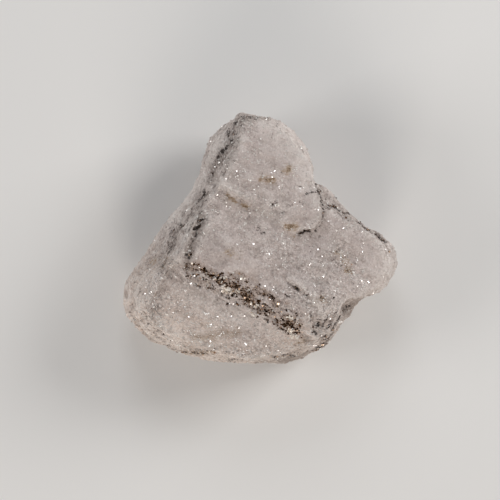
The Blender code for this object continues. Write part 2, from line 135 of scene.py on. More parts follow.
# What is worn into the stone and what colours it, with some painted shade and painted highlight, seen from
# above, in millimetres.
# A line is (width, amount, points); a dot is (x, y, width, amount).
darkLines = [
    # the flank of the tall lobe
    (0.25, 0.7, [(-4.0, 27.3), (-3.0, 27.2), (-1.4, 27.05), (-0.7, 27.1)]),
    (0.25, 0.6, [(-5.5, 25.9), (-5.1, 26.2)]),
    (0.25, 0.55, [(-7.0, 24.6), (-7.15, 23.6), (-7.2, 23.0)]),
    (0.25, 0.6, [(-6.0, 23.6), (-5.85, 23.2)]),
    (0.25, 0.55, [(-6.2, 22.1), (-6.4, 21.6)]),
    (0.3, 0.8, [(-7.5, 20.3), (-8.2, 20.0)]),
    (0.3, 1.0, [(-8.6, 19.6), (-8.5, 19.3)]),
    (0.25, 0.7, [(-9.2, 19.1), (-9.5, 18.5), (-9.5, 18.1)]),
    (0.22, 0.75, [(-12.6, 10.7), (-12.5, 9.9)]),
    # the flank half way down
    (0.25, 0.45, [(-13.0, 9.6), (-13.9, 8.6)]),
    (0.2, 0.35, [(-17.6, 5.3), (-17.0, 6.2)]),
    (0.25, 0.95, [(-17.8, 3.0), (-17.3, 3.15)]),
    (0.25, 0.4, [(-19.4, 2.7), (-19.7, 1.7)]),
    (0.2, 0.5, [(-20.6, -1.4), (-20.2, -1.9)]),
    (0.3, 0.35, [(-20.8, -4.4), (-21.8, -6.0)]),
    (0.22, 0.95, [(-13.9, 4.0), (-12.9, 4.35)]),
    (0.25, 0.95, [(-13.6, 2.8), (-14.0, 2.5), (-14.7, 2.2)]),
    (0.2, 0.7, [(-14.1, 1.3), (-14.45, 0.6)]),
    (0.25, 0.75, [(-16.0, -4.1), (-15.2, -3.2)]),
    # round the flake and along the shelf; round the flake the dark lines also paint the shadow under its
    # raised edge
    (0.18, 0.7, [(12.45, 13.2), (12.3, 11.0), (12.7, 10.5)]),
    (0.2, 0.8, [(12.7, 10.5), (13.1, 9.8), (13.5, 8.6), (13.8, 7.6)]),
    (0.2, 0.5, [(13.8, 7.6), (13.9, 6.0), (13.7, 4.9)]),
    (0.2, 0.65, [(12.3, 10.5), (11.2, 10.3), (10.2, 10.1)]),
    (0.25, 0.35, [(10.2, 10.1), (9.0, 9.4)]),
    (0.32, 1.0, [(15.2, 7.55), (16.1, 7.4), (16.7, 7.0)]),
    (0.22, 0.85, [(17.2, 6.6), (17.8, 6.1), (18.5, 5.9), (19.9, 5.8)]),
    (0.25, 0.4, [(14.0, 6.95), (15.2, 7.0)]),
    (0.2, 0.4, [(16.8, 6.1), (17.6, 5.5), (18.9, 5.0)]),
    (0.25, 0.35, [(18.3, 4.5), (19.1, 4.2)]),
    (0.2, 0.85, [(21.4, 4.0), (22.2, 3.4), (22.8, 2.9), (23.6, 2.2), (24.1, 2.0)]),
    (0.22, 0.9, [(24.3, 2.0), (25.2, 1.3), (25.9, 1.05), (26.6, 0.5), (27.4, -0.3), (27.8, -0.5)]),
    (0.15, 0.4, [(22.6, 3.9), (24.0, 2.9), (24.8, 2.3)]),
    (0.25, 0.95, [(8.5, 1.15), (9.3, 1.55), (9.9, 1.85), (10.9, 1.75)]),
    (0.25, 0.6, [(11.9, 1.9), (12.2, 1.9)]),
    (0.22, 0.5, [(12.2, 2.1), (13.0, 3.2), (13.6, 4.2), (13.7, 4.7)]),
    # the upper face
    (0.24, 0.75, [(2.3, 7.75), (2.7, 7.95), (3.1, 8.2)]),
    (0.2, 0.55, [(-0.7, 2.2), (0.0, 2.0)]),
    (0.22, 0.6, [(0.0, 1.4), (0.7, 1.4)]),
    (0.3, 0.35, [(4.8, 6.0), (5.7, 6.0)]),
    (0.2, 0.25, [(5.7, 7.2), (6.4, 7.4), (6.9, 8.0)]),
    (0.25, 0.3, [(8.5, 8.3), (9.6, 7.8)]),
    (0.17, 0.45, [(8.3, 11.8), (9.3, 11.5)]),
    (0.2, 0.35, [(16.3, -4.0), (15.9, -4.7)]),
    (0.2, 0.4, [(17.4, -2.3), (16.9, -2.9)]),
    (0.18, 0.55, [(19.2, -6.8), (19.9, -7.1)]),
    (0.15, 0.25, [(20.2, -5.0), (21.2, -5.5)]),
    # the lower right
    (0.25, 0.9, [(7.4, -10.5), (8.4, -11.1)]),
    (0.17, 0.6, [(9.7, -11.9), (10.3, -12.4)]),
    (0.15, 0.5, [(5.4, -12.3), (6.6, -12.9)]),
    (0.2, 0.3, [(9.0, -13.6), (10.0, -14.0)]),
    (0.2, 0.4, [(10.5, -15.4), (10.2, -15.8)]),
    (0.2, 0.55, [(11.0, -16.5), (11.1, -17.3)]),
    (0.27, 1.0, [(12.8, -18.6), (12.8, -19.3), (12.5, -19.2)]),
    (0.25, 0.4, [(11.7, -19.0), (11.5, -19.7)]),
    (0.3, 0.9, [(12.0, -20.5), (12.2, -21.0)]),
    (0.3, 0.8, [(15.6, -18.4), (15.0, -19.6)]),
    (0.3, 0.8, [(17.6, -17.2), (16.8, -18.6), (15.8, -20.2)]),
    (0.27, 1.0, [(14.5, -21.4), (14.1, -21.9)]),
    (0.25, 0.45, [(15.0, -16.7), (14.6, -17.6), (14.0, -18.5)]),
    (0.25, 0.6, [(16.9, -16.0), (16.5, -16.3), (16.3, -17.2)]),
    (0.2, 0.3, [(16.0, -12.5), (16.1, -13.0)]),
    (0.25, 0.4, [(13.4, -12.7), (13.7, -13.3)]),
    (0.2, 0.85, [(19.4, -14.9), (19.4, -15.7)]),
    (0.2, 0.5, [(19.9, -15.0), (20.3, -14.9)]),
    (0.3, 0.7, [(15.4, -22.6), (14.8, -22.8)]),
    (0.25, 1.0, [(14.4, -23.2), (13.8, -23.8)]),
    (0.25, 0.8, [(13.0, -24.2), (13.6, -24.5)]),
    (0.25, 0.6, [(7.5, -26.2), (6.5, -26.0)]),
    # the bottom rim and the lower left
    (0.15, 0.4, [(-10.2, -24.3), (-10.3, -24.9)]),
    (0.22, 0.5, [(-17.5, -25.3), (-14.5, -25.4), (-12.0, -25.5)]),
    (0.2, 0.35, [(-14.8, -25.0), (-11.0, -24.8)]),
    (0.2, 0.3, [(-8.5, -25.2), (-6.0, -25.3)]),
    (0.3, 0.35, [(-7.0, -27.2), (-5.8, -27.4)]),
    (0.25, 0.6, [(2.5, -26.2), (3.8, -26.3), (4.6, -26.1)]),
    (0.2, 0.6, [(5.0, -25.8), (6.8, -25.9)]),
    (0.25, 0.35, [(-24.8, -20.4), (-23.7, -21.0), (-23.0, -22.0)]),
    (0.25, 0.35, [(-21.8, -23.0), (-20.6, -24.0), (-19.5, -24.6), (-18.5, -25.2)]),
]
darkDots = [
    (-5.85, 24.4, 0.2, 0.6), (-6.8, 23.2, 0.2, 0.4), (-7.9, 20.8, 0.25, 0.45), (-7.2, 20.7, 0.3, 0.4),
    (-7.8, 19.5, 0.2, 0.6), (-8.2, 18.8, 0.25, 0.8), (-8.3, 18.1, 0.2, 0.5), (-8.8, 18.4, 0.3, 0.4),
    (-10.2, 17.1, 0.25, 0.6), (-10.6, 16.75, 0.2, 0.55), (-11.5, 14.9, 0.25, 0.6),
    (-10.85, 14.6, 0.27, 0.8), (-8.4, 14.3, 0.3, 0.5), (-12.0, 18.8, 0.25, 0.7), (-10.6, 11.3, 0.2, 0.7),
    (-15.3, 6.75, 0.22, 0.75), (-15.6, 6.0, 0.27, 0.8), (-16.1, 5.3, 0.2, 0.5), (-18.6, 3.4, 0.25, 0.6),
    (-18.6, 2.5, 0.2, 0.4), (-20.1, 0.65, 0.25, 0.75), (-19.6, 0.4, 0.25, 0.4), (-20.5, -0.75, 0.25, 0.8),
    (-13.75, 3.3, 0.2, 0.6), (-15.1, -0.45, 0.18, 0.6), (-16.5, -3.5, 0.3, 0.95), (-15.3, -2.6, 0.2, 0.4),
    (-11.05, -2.2, 0.2, 0.6), (-9.5, 5.55, 0.22, 0.6), (-12.1, 8.65, 0.2, 0.6), (-4.95, 12.25, 0.18, 0.7),
    (14.5, 9.0, 0.25, 0.45), (17.2, 6.6, 0.22, 0.9), (11.3, 1.3, 0.25, 0.35), (13.0, 0.75, 0.25, 0.45),
    (-2.85, 23.0, 0.3, 0.3), (4.3, 17.6, 0.35, 0.25), (-1.8, 14.2, 0.35, 0.25), (-5.4, 12.9, 0.3, 0.3),
    (4.7, 14.8, 0.15, 0.5), (5.6, 14.2, 0.2, 0.3), (5.5, 11.4, 0.2, 0.3), (6.2, 10.4, 0.2, 0.3),
    (9.5, 8.0, 0.25, 0.3), (-0.2, 2.9, 0.2, 0.55), (4.0, -0.2, 0.2, 0.85), (3.1, 0.7, 0.15, 0.6),
    (10.8, -1.6, 0.25, 0.4), (11.1, -2.95, 0.27, 0.8), (7.8, -3.3, 0.3, 0.35), (2.7, -3.7, 0.25, 0.3),
    (-1.4, -6.1, 0.2, 0.4), (-0.7, -6.1, 0.17, 0.5), (1.9, -5.8, 0.25, 0.3), (-7.6, -4.5, 0.25, 0.3),
    (26.7, -1.7, 0.25, 0.4), (28.1, -6.4, 0.25, 0.3), (20.4, -9.7, 0.25, 0.45), (15.5, -8.4, 0.2, 0.45),
    (18.0, -5.8, 0.2, 0.4), (18.7, -6.3, 0.2, 0.35), (28.7, -9.0, 0.17, 0.7), (6.1, -9.75, 0.2, 0.7),
    (8.6, -13.05, 0.2, 0.4), (10.1, -14.85, 0.15, 0.7), (10.4, -16.9, 0.2, 0.5), (11.0, -18.1, 0.25, 0.55),
    (12.3, -19.8, 0.25, 0.95), (13.7, -19.4, 0.22, 0.8), (13.1, -18.1, 0.2, 0.35), (11.5, -20.8, 0.3, 0.55),
    (13.6, -22.1, 0.22, 0.7), (14.6, -20.5, 0.3, 0.35), (13.4, -11.5, 0.22, 0.6), (12.9, -12.0, 0.15, 0.4),
    (15.9, -20.5, 0.25, 0.45), (15.9, -22.1, 0.2, 0.7), (11.5, -24.5, 0.25, 0.4), (10.5, -25.1, 0.25, 0.7),
    (11.4, -25.5, 0.3, 0.4), (8.3, -26.1, 0.2, 0.9), (-28.2, -9.6, 0.25, 0.5), (-26.8, -11.7, 0.3, 0.65),
    (-27.6, -12.6, 0.17, 0.5), (-25.7, -12.0, 0.25, 0.3), (-28.7, -14.4, 0.22, 0.6),
    (-29.3, -14.85, 0.18, 0.6), (-28.7, -15.3, 0.28, 0.65), (-29.35, -16.35, 0.25, 0.85),
    (-28.45, -17.7, 0.22, 0.85), (-26.75, -18.0, 0.25, 0.6), (-27.2, -16.0, 0.2, 0.3),
    (-27.8, -18.9, 0.2, 0.4), (-17.3, -20.1, 0.3, 0.5), (-6.1, -16.9, 0.2, 0.5), (-10.3, -25.2, 0.25, 0.8),
    (-16.0, -26.1, 0.25, 0.5), (1.8, -26.2, 0.2, 0.4), (5.8, -27.0, 0.17, 0.5),
]
# grey streaks along the flanks, and painted shade: darker bands along the rims, in creases and the valley at
# the lower left, and on the shelf beside the flake
streakAndShadeLines = [
    (1.6, 0.3, [(5.6, 9.6), (6.4, 6.0)]),
    (2.2, 0.35, [(-12.2, 2.0), (-11.6, -4.6)]),
    (1.6, 0.25, [(-6.4, 18.6), (-6.0, 12.0)]),
    (1.4, 0.72, [(-5.4, 25.6), (-6.2, 23.5), (-6.6, 21.5), (-7.8, 19.6), (-8.5, 17.8)]),
    (1.1, 0.45, [(-5.0, 23.0), (-5.8, 20.0), (-6.6, 17.6), (-7.8, 15.4)]),
    (0.9, 0.45, [(-8.5, 17.8), (-10.4, 15.6), (-11.3, 13.2)]),
    (0.6, 0.4, [(-7.1, 17.5), (-7.6, 16.3), (-8.4, 14.3), (-8.8, 13.0)]),
    (1.0, 0.9, [(-4.6, 26.8), (-2.6, 27.2), (1.0, 27.0)]),
    (1.1, 0.7, [(-12.2, 10.2), (-13.6, 8.0), (-15.2, 5.6), (-17.2, 3.0), (-19.2, 1.4), (-20.0, -1.6)]),
    (0.9, 0.3, [(-20.2, -1.6), (-21.0, -4.6), (-22.0, -6.4)]),
    (1.3, 0.95, [(-13.0, 4.8), (-14.0, 2.2), (-14.6, 0.0), (-15.6, -2.6), (-16.4, -5.4)]),
    (1.6, 0.4, [(-13.0, 6.4), (-15.4, 1.6), (-17.6, -3.4)]),
    (0.9, 0.4, [(-9.8, 10.4), (-11.5, 9.6)]),
    (0.5, 0.4, [(-12.5, 8.6), (-13.3, 6.5), (-13.9, 5.9)]),
    (1.9, 0.35, [(-20.8, -7.4), (-21.4, -10.5), (-22.6, -13.6), (-24.2, -16.6)]),
    (1.1, 0.5, [(-25.6, -21.6), (-23.6, -23.4), (-20.6, -24.8), (-17.5, -25.6)]),
    (1.3, 0.5, [(-15.4, -21.7), (-11.5, -21.6), (-8.0, -20.9), (-5.0, -20.9), (-3.0, -20.6)]),
    (0.9, 0.45, [(-16.0, -24.2), (-12.0, -24.0), (-8.0, -24.2)]),
    (1.1, 0.2, [(-9.0, 8.6), (-3.6, 6.4)]),
    (1.0, 0.3, [(-1.0, 2.6), (0.6, 1.6), (2.4, 0.6)]),
    (0.45, 0.4, [(1.0, -6.5), (2.5, -7.0), (4.0, -8.0), (5.4, -8.8), (6.4, -10.0)]),
    (0.9, 0.5, [(0.4, 9.6), (1.6, 9.4), (3.6, 9.2), (5.6, 8.8)]),
    (1.2, 0.35, [(-5.6, 12.6), (-3.3, 11.4), (-0.4, 11.6), (2.6, 11.8)]),
    (1.2, 0.35, [(12.6, -17.6), (13.6, -19.6), (12.9, -21.8)]),
    (1.7, 0.95, [(21.2, -15.4), (18.2, -20.8), (15.4, -24.0), (12.0, -26.4), (6.0, -27.6), (0.0, -27.8)]),
    (1.0, 0.95, [(19.0, -15.8), (21.0, -14.8), (22.6, -14.2)]),
    (1.1, 0.65, [(13.2, 12.4), (13.2, 10.4), (13.9, 8.4), (14.2, 6.4), (14.0, 4.4)]),
    (1.7, 0.5, [(14.8, 9.8), (17.0, 7.4), (19.6, 5.6)]),
    (1.0, 0.85, [(20.6, 5.2), (22.6, 4.0), (24.6, 2.6), (27.4, 0.2)]),
    (1.2, 0.35, [(9.2, 1.2), (11.4, 1.4), (13.0, 1.0)]),
    (2.0, 0.35, [(10.6, 9.6), (12.2, 7.6), (12.0, 5.0)]),
    (3.0, 0.38, [(12.0, 1.0), (13.0, -6.0)]),
    (2.0, 0.25, [(-0.6, -8.4), (2.4, -10.4)]),
    (1.2, 0.3, [(-8.6, -1.2), (-6.4, -2.8), (-7.4, -4.8)]),
    (1.4, 0.3, [(15.4, -4.6), (17.6, -3.2)]),
    (1.4, 0.5, [(29.8, -2.0), (30.6, -5.4), (29.8, -8.4)]),
    (1.5, 0.45, [(16.0, -17.6), (18.4, -17.4), (21.0, -15.5)]),
    (1.6, 0.45, [(-24.6, 1.4), (-22.6, 3.6)]),
]
rustMarks = [
    (0.45, 1.0, [(6.0, 15.6), (6.35, 15.5)]),
    (0.9, 0.45, [(5.4, 15.0), (6.4, 15.8)]),
    (0.32, 0.8, [(1.4, 13.4), (2.0, 13.2), (2.7, 13.4)]),
    (0.3, 0.55, [(1.6, 12.7), (2.6, 12.4)]),
    (0.3, 0.5, [(-0.2, 13.2), (0.5, 13.7), (1.0, 13.1)]),
    (1.0, 0.35, [(0.0, 13.3), (2.8, 13.0)]),
    (0.24, 0.85, [(-7.4, 9.9), (-6.6, 9.0), (-5.7, 8.5)]),
    (0.26, 0.85, [(-4.2, 7.6), (-3.6, 7.3), (-3.0, 7.1)]),
    (0.9, 0.25, [(-7.0, 9.0), (-4.6, 8.2), (-2.6, 7.2)]),
    (0.36, 0.85, [(5.6, 2.9), (6.5, 2.9)]),
    (0.5, 0.5, [(7.2, 3.0), (8.0, 2.9)]),
    (0.9, 0.45, [(6.0, 2.4), (7.8, 2.6)]),
    (0.6, 0.35, [(7.0, 0.2), (7.4, 0.2)]),
    (0.3, 0.5, [(-7.4, -2.7), (-6.8, -3.3)]),
    (1.1, 0.35, [(-7.0, -3.2), (-5.0, -3.5)]),
    (0.35, 0.6, [(19.1, -6.8), (20.0, -7.2)]),
    (1.1, 0.40, [(17.0, -2.8), (19.2, -5.4), (19.6, -6.8)]),
    (0.35, 0.55, [(13.3, -12.6), (13.8, -13.4)]),
    (0.9, 0.3, [(11.8, -13.4), (14.2, -14.2)]),
    (0.6, 0.5, [(-20.8, -4.4), (-21.8, -6.0)]),
    (0.5, 0.5, [(-23.7, -4.5), (-24.3, -5.2)]),
    (0.8, 0.5, [(-15.0, -21.6), (-11.5, -21.6), (-8.0, -20.9), (-5.0, -20.9)]),
    (0.4, 0.5, [(-17.5, -25.3), (-14.5, -25.4), (-10.5, -25.2)]),
    (0.7, 0.35, [(20.5, -14.8), (22.4, -14.0)]),
    (0.4, 0.5, [(9.0, -21.8), (10.0, -22.6), (8.0, -23.2)]),
    (1.4, 0.22, [(-27.0, -20.0), (-20.0, -24.8), (-12.0, -26.8), (0.0, -27.0)]),
    (1.2, 0.22, [(4.0, -27.0), (12.0, -25.6), (17.0, -21.2)]),
]
coarseParts = [
    (5.0, 0.2, [(-8.0, 3.0), (2.0, -3.0)]),
    (5.0, 0.4, [(-18.0, -14.0), (-8.0, -19.0), (0.0, -22.0)]),
    (4.0, 0.9, [(8.0, -12.0), (12.0, -16.0), (14.0, -21.0)]),
    (3.2, 0.7, [(14.0, -12.0), (18.0, -15.0)]),
    (2.6, 0.6, [(17.0, -3.0), (19.6, -6.6), (22.4, -9.4)]),
    (3.4, 0.8, [(-14.0, 4.0), (-20.0, -2.0), (-24.0, -10.0), (-24.0, -17.0)]),
    (2.4, 0.8, [(-12.6, 8.6), (-15.4, 4.0)]),
    (2.6, 0.9, [(-27.0, -17.0), (-20.0, -23.0), (-8.0, -26.0), (4.0, -26.0), (13.0, -24.0)]),
    (3.0, 0.5, [(-16.0, -8.0), (-6.0, -12.0), (4.0, -16.0)]),
    (2.4, 0.9, [(-4.0, 26.0), (-7.0, 22.0), (-10.0, 16.0), (-12.0, 11.0)]),
    (2.4, 0.5, [(-9.0, 11.0), (-2.0, 9.0), (4.0, 6.0)]),
    (1.8, 0.6, [(12.6, 13.0), (15.0, 8.6), (20.0, 5.0), (27.0, -0.4)]),
    (3.0, 0.4, [(4.0, -4.0), (10.0, -6.0), (16.0, -8.0)]),
]
coolParts = [
    (3.2, 0.7, [(-12.0, 1.0), (-8.6, -1.6)]),
    (3.4, 0.7, [(12.0, -1.2), (17.0, 2.6)]),
    (3.0, 0.5, [(4.0, -2.6), (9.0, -4.6)]),
    (2.6, 0.4, [(-5.0, 14.0), (-3.0, 19.0)]),
    (2.4, 0.5, [(22.0, 0.0), (24.0, -4.0)]),
    (2.2, 0.5, [(-17.0, -12.0), (-14.0, -14.0)]),
    (2.4, 0.5, [(10.0, 5.0), (11.0, 8.0)]),
    (1.6, 0.5, [(12.0, -15.8), (12.4, -16.4)]),
]
# paler stone, and painted highlight where the stone is lit more brightly: the right of the tall lobe, the
# outer left flank and the rims
paleAndHighlightParts = [
    (0.9, 0.6, [(-8.2, 24.4), (-10.2, 20.4), (-12.2, 15.8), (-13.8, 12.2)]),
    (0.8, 0.5, [(-4.0, 22.6), (-5.4, 18.6), (-7.0, 14.4)]),
    (0.8, 0.5, [(-11.4, 6.2), (-12.8, 1.6), (-13.8, -2.6)]),
    (0.9, 0.5, [(-12.0, 11.0), (-9.0, 12.5), (-5.0, 10.5)]),
    (0.5, 0.5, [(8.6, 11.6), (10.5, 11.2), (12.0, 11.2)]),
    (3.0, 0.45, [(3.0, 23.6), (7.4, 20.4), (9.6, 15.6), (10.6, 12.6)]),
    (2.6, 0.4, [(-16.4, -12.6), (-9.0, -15.6), (-3.4, -17.6)]),
    (2.0, 0.4, [(-20.6, -17.6), (-16.0, -20.0), (-9.0, -23.4)]),
    (1.4, 0.3, [(-1.0, -23.6), (6.0, -23.4)]),
    (1.6, 0.9, [(-15.6, 11.4), (-18.6, 7.0), (-21.0, 3.6)]),
    (1.3, 0.8, [(-15.2, 3.6), (-16.6, 0.4)]),
    (1.6, 0.4, [(-12.6, -17.4), (-11.0, -18.6)]),
    (1.3, 0.5, [(11.0, -14.0), (13.2, -15.4)]),
    (1.6, 0.55, [(0.6, -18.8), (4.0, -21.2)]),
    (1.8, 0.5, [(-22.4, -20.0), (-19.5, -22.0)]),
    (1.6, 0.35, [(1.0, 6.2), (4.0, 5.4)]),
    (2.0, 0.5, [(28.6, -4.0), (28.4, -7.4)]),
    (1.0, 0.6, [(-26.0, -8.0), (-28.0, -12.0), (-27.2, -16.0)]),
    (1.2, 0.5, [(-26.6, -19.4), (-22.0, -23.4), (-14.0, -26.2), (-4.0, -26.8), (4.0, -26.8)]),
    (0.6, 0.4, [(-25.4, -17.5), (-25.1, -18.7), (-24.5, -19.5)]),
    (0.5, 0.5, [(13.4, -20.5), (13.6, -20.8)]),
    (0.5, 0.5, [(11.4, -22.0), (12.2, -22.0)]),
    (0.7, 0.4, [(14.4, -13.8), (15.6, -14.2)]),
]
# where a break in the slope is worn round
wornParts = [
    (2.4, 0.95, [(-20.2, -7.0), (-22.4, -12.6), (-24.4, -18.0)]),
    (1.3, 0.9, [(-16.0, -9.4), (-9.7, -12.9), (-5.2, -15.5), (2.2, -19.4), (6.6, -22.4)]),
]
# the left flank, whose specks run down it, and the part of it where no seams come out
flankParts = [(6.0, 1.0, [(-6.0, 25.0), (-11.0, 14.0), (-18.0, 2.0), (-23.0, -9.0), (-24.0, -18.0)])]
seamlessParts = [(7.0, 1.0, [(-7.0, 24.0), (-20.0, 2.0), (-27.0, -14.0)])]

# The pyrite: the outline of its band, where it is densest, its dark clumps and its bright clusters.
pyriteArea = [
    (-17.3, -6.6), (-16.4, -5.2), (-14.6, -5.2), (-10.5, -6.7), (-6.9, -7.5), (-3.3, -8.2), (-0.6, -9.6),
    (3.5, -12.3), (6.7, -14.1), (8.9, -16.8), (10.0, -19.5), (9.7, -22.0), (8.4, -22.2), (6.7, -21.6),
    (3.5, -19.4), (0.3, -17.4), (-2.4, -15.7), (-5.1, -14.2), (-8.7, -12.9), (-12.3, -11.1), (-15.9, -8.9),
]
pyriteHaze = [
    (1.3, 1.0, [(-15.6, -5.9), (-12.6, -6.4), (-9.6, -7.9), (-6.4, -9.4), (-3.6, -11.2), (-1.6, -13.0)]),
    (1.3, 0.95, [(-5.6, -8.4), (-3.0, -8.8), (-1.8, -9.8)]),
    (1.1, 0.75, [(-6.4, -8.8), (-3.4, -9.2), (-0.6, -10.8), (2.4, -12.4), (4.6, -14.4)]),
    (1.1, 0.6, [(-7.6, -11.4), (-4.4, -12.8), (-1.4, -14.4), (2.0, -16.0)]),
    (1.4, 0.8, [(5.6, -17.6), (7.2, -18.8), (7.6, -20.2)]),
]
pyriteRich = [
    (0.9, 0.5, [(-13.0, -7.2), (-11.5, -8.0), (-9.3, -8.9)]),
    (1.1, 0.9, [(-8.8, -9.4), (-7.0, -10.4), (-5.4, -10.8), (-3.6, -11.8)]),
    (1.0, 0.75, [(-6.4, -12.3), (-3.4, -13.0), (-1.4, -14.4), (0.2, -15.2)]),
    (1.5, 0.3, [(5.4, -18.8), (7.0, -18.4), (7.6, -19.8), (6.4, -20.2)]),
]
clumpLines = [
    (0.2, 0.6, [(-16.3, -5.4), (-16.5, -5.8)]),
    (0.2, 0.45, [(-14.8, -5.5), (-14.2, -5.7)]),
    (0.22, 0.5, [(-16.5, -7.6), (-15.6, -8.4)]),
    (0.22, 0.95, [(-12.0, -7.3), (-11.5, -8.1)]),
    (0.22, 1.0, [(-11.2, -8.1), (-10.2, -8.2)]),
    (0.2, 0.9, [(-9.4, -8.2), (-8.9, -7.6)]),
    (0.28, 1.0, [(-9.6, -9.2), (-8.9, -9.0), (-8.4, -9.0)]),
    (0.3, 1.0, [(-9.1, -9.0), (-9.1, -9.9)]),
    (0.17, 0.6, [(-12.5, -8.95), (-11.6, -8.95)]),
    (0.25, 0.95, [(-14.1, -10.2), (-13.6, -10.4)]),
    (0.17, 0.8, [(-7.9, -9.8), (-7.1, -10.3)]),
    (0.25, 0.7, [(-6.0, -10.4), (-5.3, -10.5), (-4.7, -10.2)]),
    (0.25, 0.85, [(-6.5, -12.2), (-6.0, -12.2)]),
    (0.18, 0.5, [(-7.6, -12.9), (-7.0, -12.9)]),
    (0.2, 0.85, [(-5.4, -14.0), (-5.1, -14.6), (-4.9, -14.6)]),
    (0.2, 0.85, [(-3.1, -9.4), (-2.6, -9.6)]),
    (0.2, 0.85, [(-3.8, -11.0), (-3.4, -11.5)]),
    (0.2, 0.8, [(-4.0, -12.3), (-3.5, -12.7)]),
    (0.25, 0.8, [(-3.2, -12.4), (-2.7, -12.9)]),
    (0.17, 0.7, [(-2.5, -12.35), (-1.7, -12.4)]),
    (0.28, 1.0, [(-3.2, -13.4), (-2.1, -13.8)]),
    (0.25, 1.0, [(-0.6, -13.7), (-0.4, -13.9)]),
    (0.18, 0.8, [(3.9, -14.0), (3.8, -14.8)]),
    (0.2, 0.9, [(0.9, -15.75), (1.5, -15.95)]),
    (0.2, 0.8, [(0.9, -17.7), (1.6, -18.1)]),
    (0.2, 0.9, [(4.3, -19.6), (4.9, -20.0)]),
    (0.2, 0.85, [(5.5, -20.3), (6.0, -20.7)]),
    (0.2, 0.7, [(6.1, -18.4), (6.2, -18.8)]),
    (0.2, 0.6, [(6.7, -19.5), (7.3, -19.6)]),
    (0.2, 0.6, [(7.3, -20.6), (7.9, -20.9), (8.7, -20.7)]),
]
clumpDots = [
    (-16.0, -6.5, 0.22, 0.55), (-15.1, -6.7, 0.2, 0.35), (-16.1, -8.8, 0.2, 0.45), (-14.4, -7.0, 0.2, 0.3),
    (-14.3, -8.0, 0.25, 0.8), (-14.3, -8.7, 0.2, 0.4), (-13.2, -6.7, 0.25, 0.85), (-12.5, -6.65, 0.3, 1.0),
    (-10.6, -7.6, 0.2, 0.6), (-8.4, -7.8, 0.22, 0.85), (-11.4, -10.65, 0.25, 0.6),
    (-10.4, -10.85, 0.2, 0.55), (-8.5, -12.1, 0.27, 0.95), (-5.8, -9.7, 0.22, 0.85),
    (-5.3, -12.1, 0.25, 0.85), (-9.7, -13.35, 0.25, 0.3), (-7.3, -14.4, 0.2, 0.5), (-2.5, -11.55, 0.2, 0.8),
    (-1.8, -10.9, 0.22, 0.55), (-0.7, -10.5, 0.2, 0.4), (-0.2, -10.1, 0.2, 0.3), (0.75, -14.55, 0.28, 0.95),
    (0.7, -12.3, 0.2, 0.6), (0.7, -11.5, 0.2, 0.35), (1.6, -12.6, 0.2, 0.35), (2.5, -12.7, 0.2, 0.35),
    (2.1, -13.3, 0.2, 0.35), (2.7, -14.5, 0.25, 0.35), (2.0, -15.6, 0.2, 0.6), (2.6, -15.5, 0.22, 0.6),
    (-0.6, -15.8, 0.25, 0.5), (-1.6, -15.2, 0.25, 0.5), (-1.4, -14.4, 0.2, 0.6), (3.1, -16.4, 0.2, 0.65),
    (1.15, -16.9, 0.2, 0.85), (-0.75, -17.15, 0.2, 0.6), (3.6, -17.9, 0.22, 0.75), (2.7, -18.5, 0.25, 0.8),
    (3.4, -18.8, 0.2, 0.3), (5.0, -17.7, 0.25, 0.6), (5.3, -19.1, 0.28, 1.0), (6.8, -19.0, 0.3, 1.0),
    (6.8, -18.0, 0.2, 0.6), (7.6, -17.6, 0.25, 0.85), (8.3, -18.1, 0.2, 0.65), (8.6, -19.4, 0.22, 0.8),
    (8.0, -19.9, 0.2, 0.6), (8.9, -18.8, 0.2, 0.35), (-4.9, -8.9, 0.4, 0.35),
]
# bright clusters: crystals leaning to catch the lamps, also painted near-white as a glint
brightClusters = [
    (0.42, 1.0, [(-8.3, -10.8), (-7.6, -11.3)]),
    (0.28, 1.0, [(-7.2, -11.0), (-6.8, -11.4)]),
    (0.22, 1.0, [(6.1, -17.1), (6.9, -17.5)]),
    (0.22, 1.0, [(5.8, -20.0), (6.6, -20.1), (7.0, -20.4)]),
]
brightDots = [
    (-7.3, -10.6, 0.2, 0.9), (-7.8, -10.2, 0.2, 0.9), (-8.55, -9.5, 0.15, 0.9), (-9.0, -8.6, 0.2, 0.9),
    (-8.0, -8.5, 0.15, 0.9), (-10.0, -7.8, 0.15, 0.9), (-12.3, -9.3, 0.15, 0.9), (-11.5, -9.3, 0.15, 0.9),
    (-4.1, -8.7, 0.2, 0.9), (-5.05, -11.4, 0.25, 1.0), (-3.9, -13.1, 0.15, 0.9), (-1.9, -14.3, 0.25, 0.9),
    (-1.0, -14.9, 0.25, 0.9), (-0.8, -14.3, 0.25, 0.7), (-2.4, -16.2, 0.28, 0.9), (-1.45, -16.7, 0.2, 0.9),
    (6.5, -20.85, 0.17, 0.9), (7.0, -21.2, 0.17, 0.9), (7.45, -21.45, 0.17, 0.9), (8.1, -21.5, 0.17, 0.9),
]

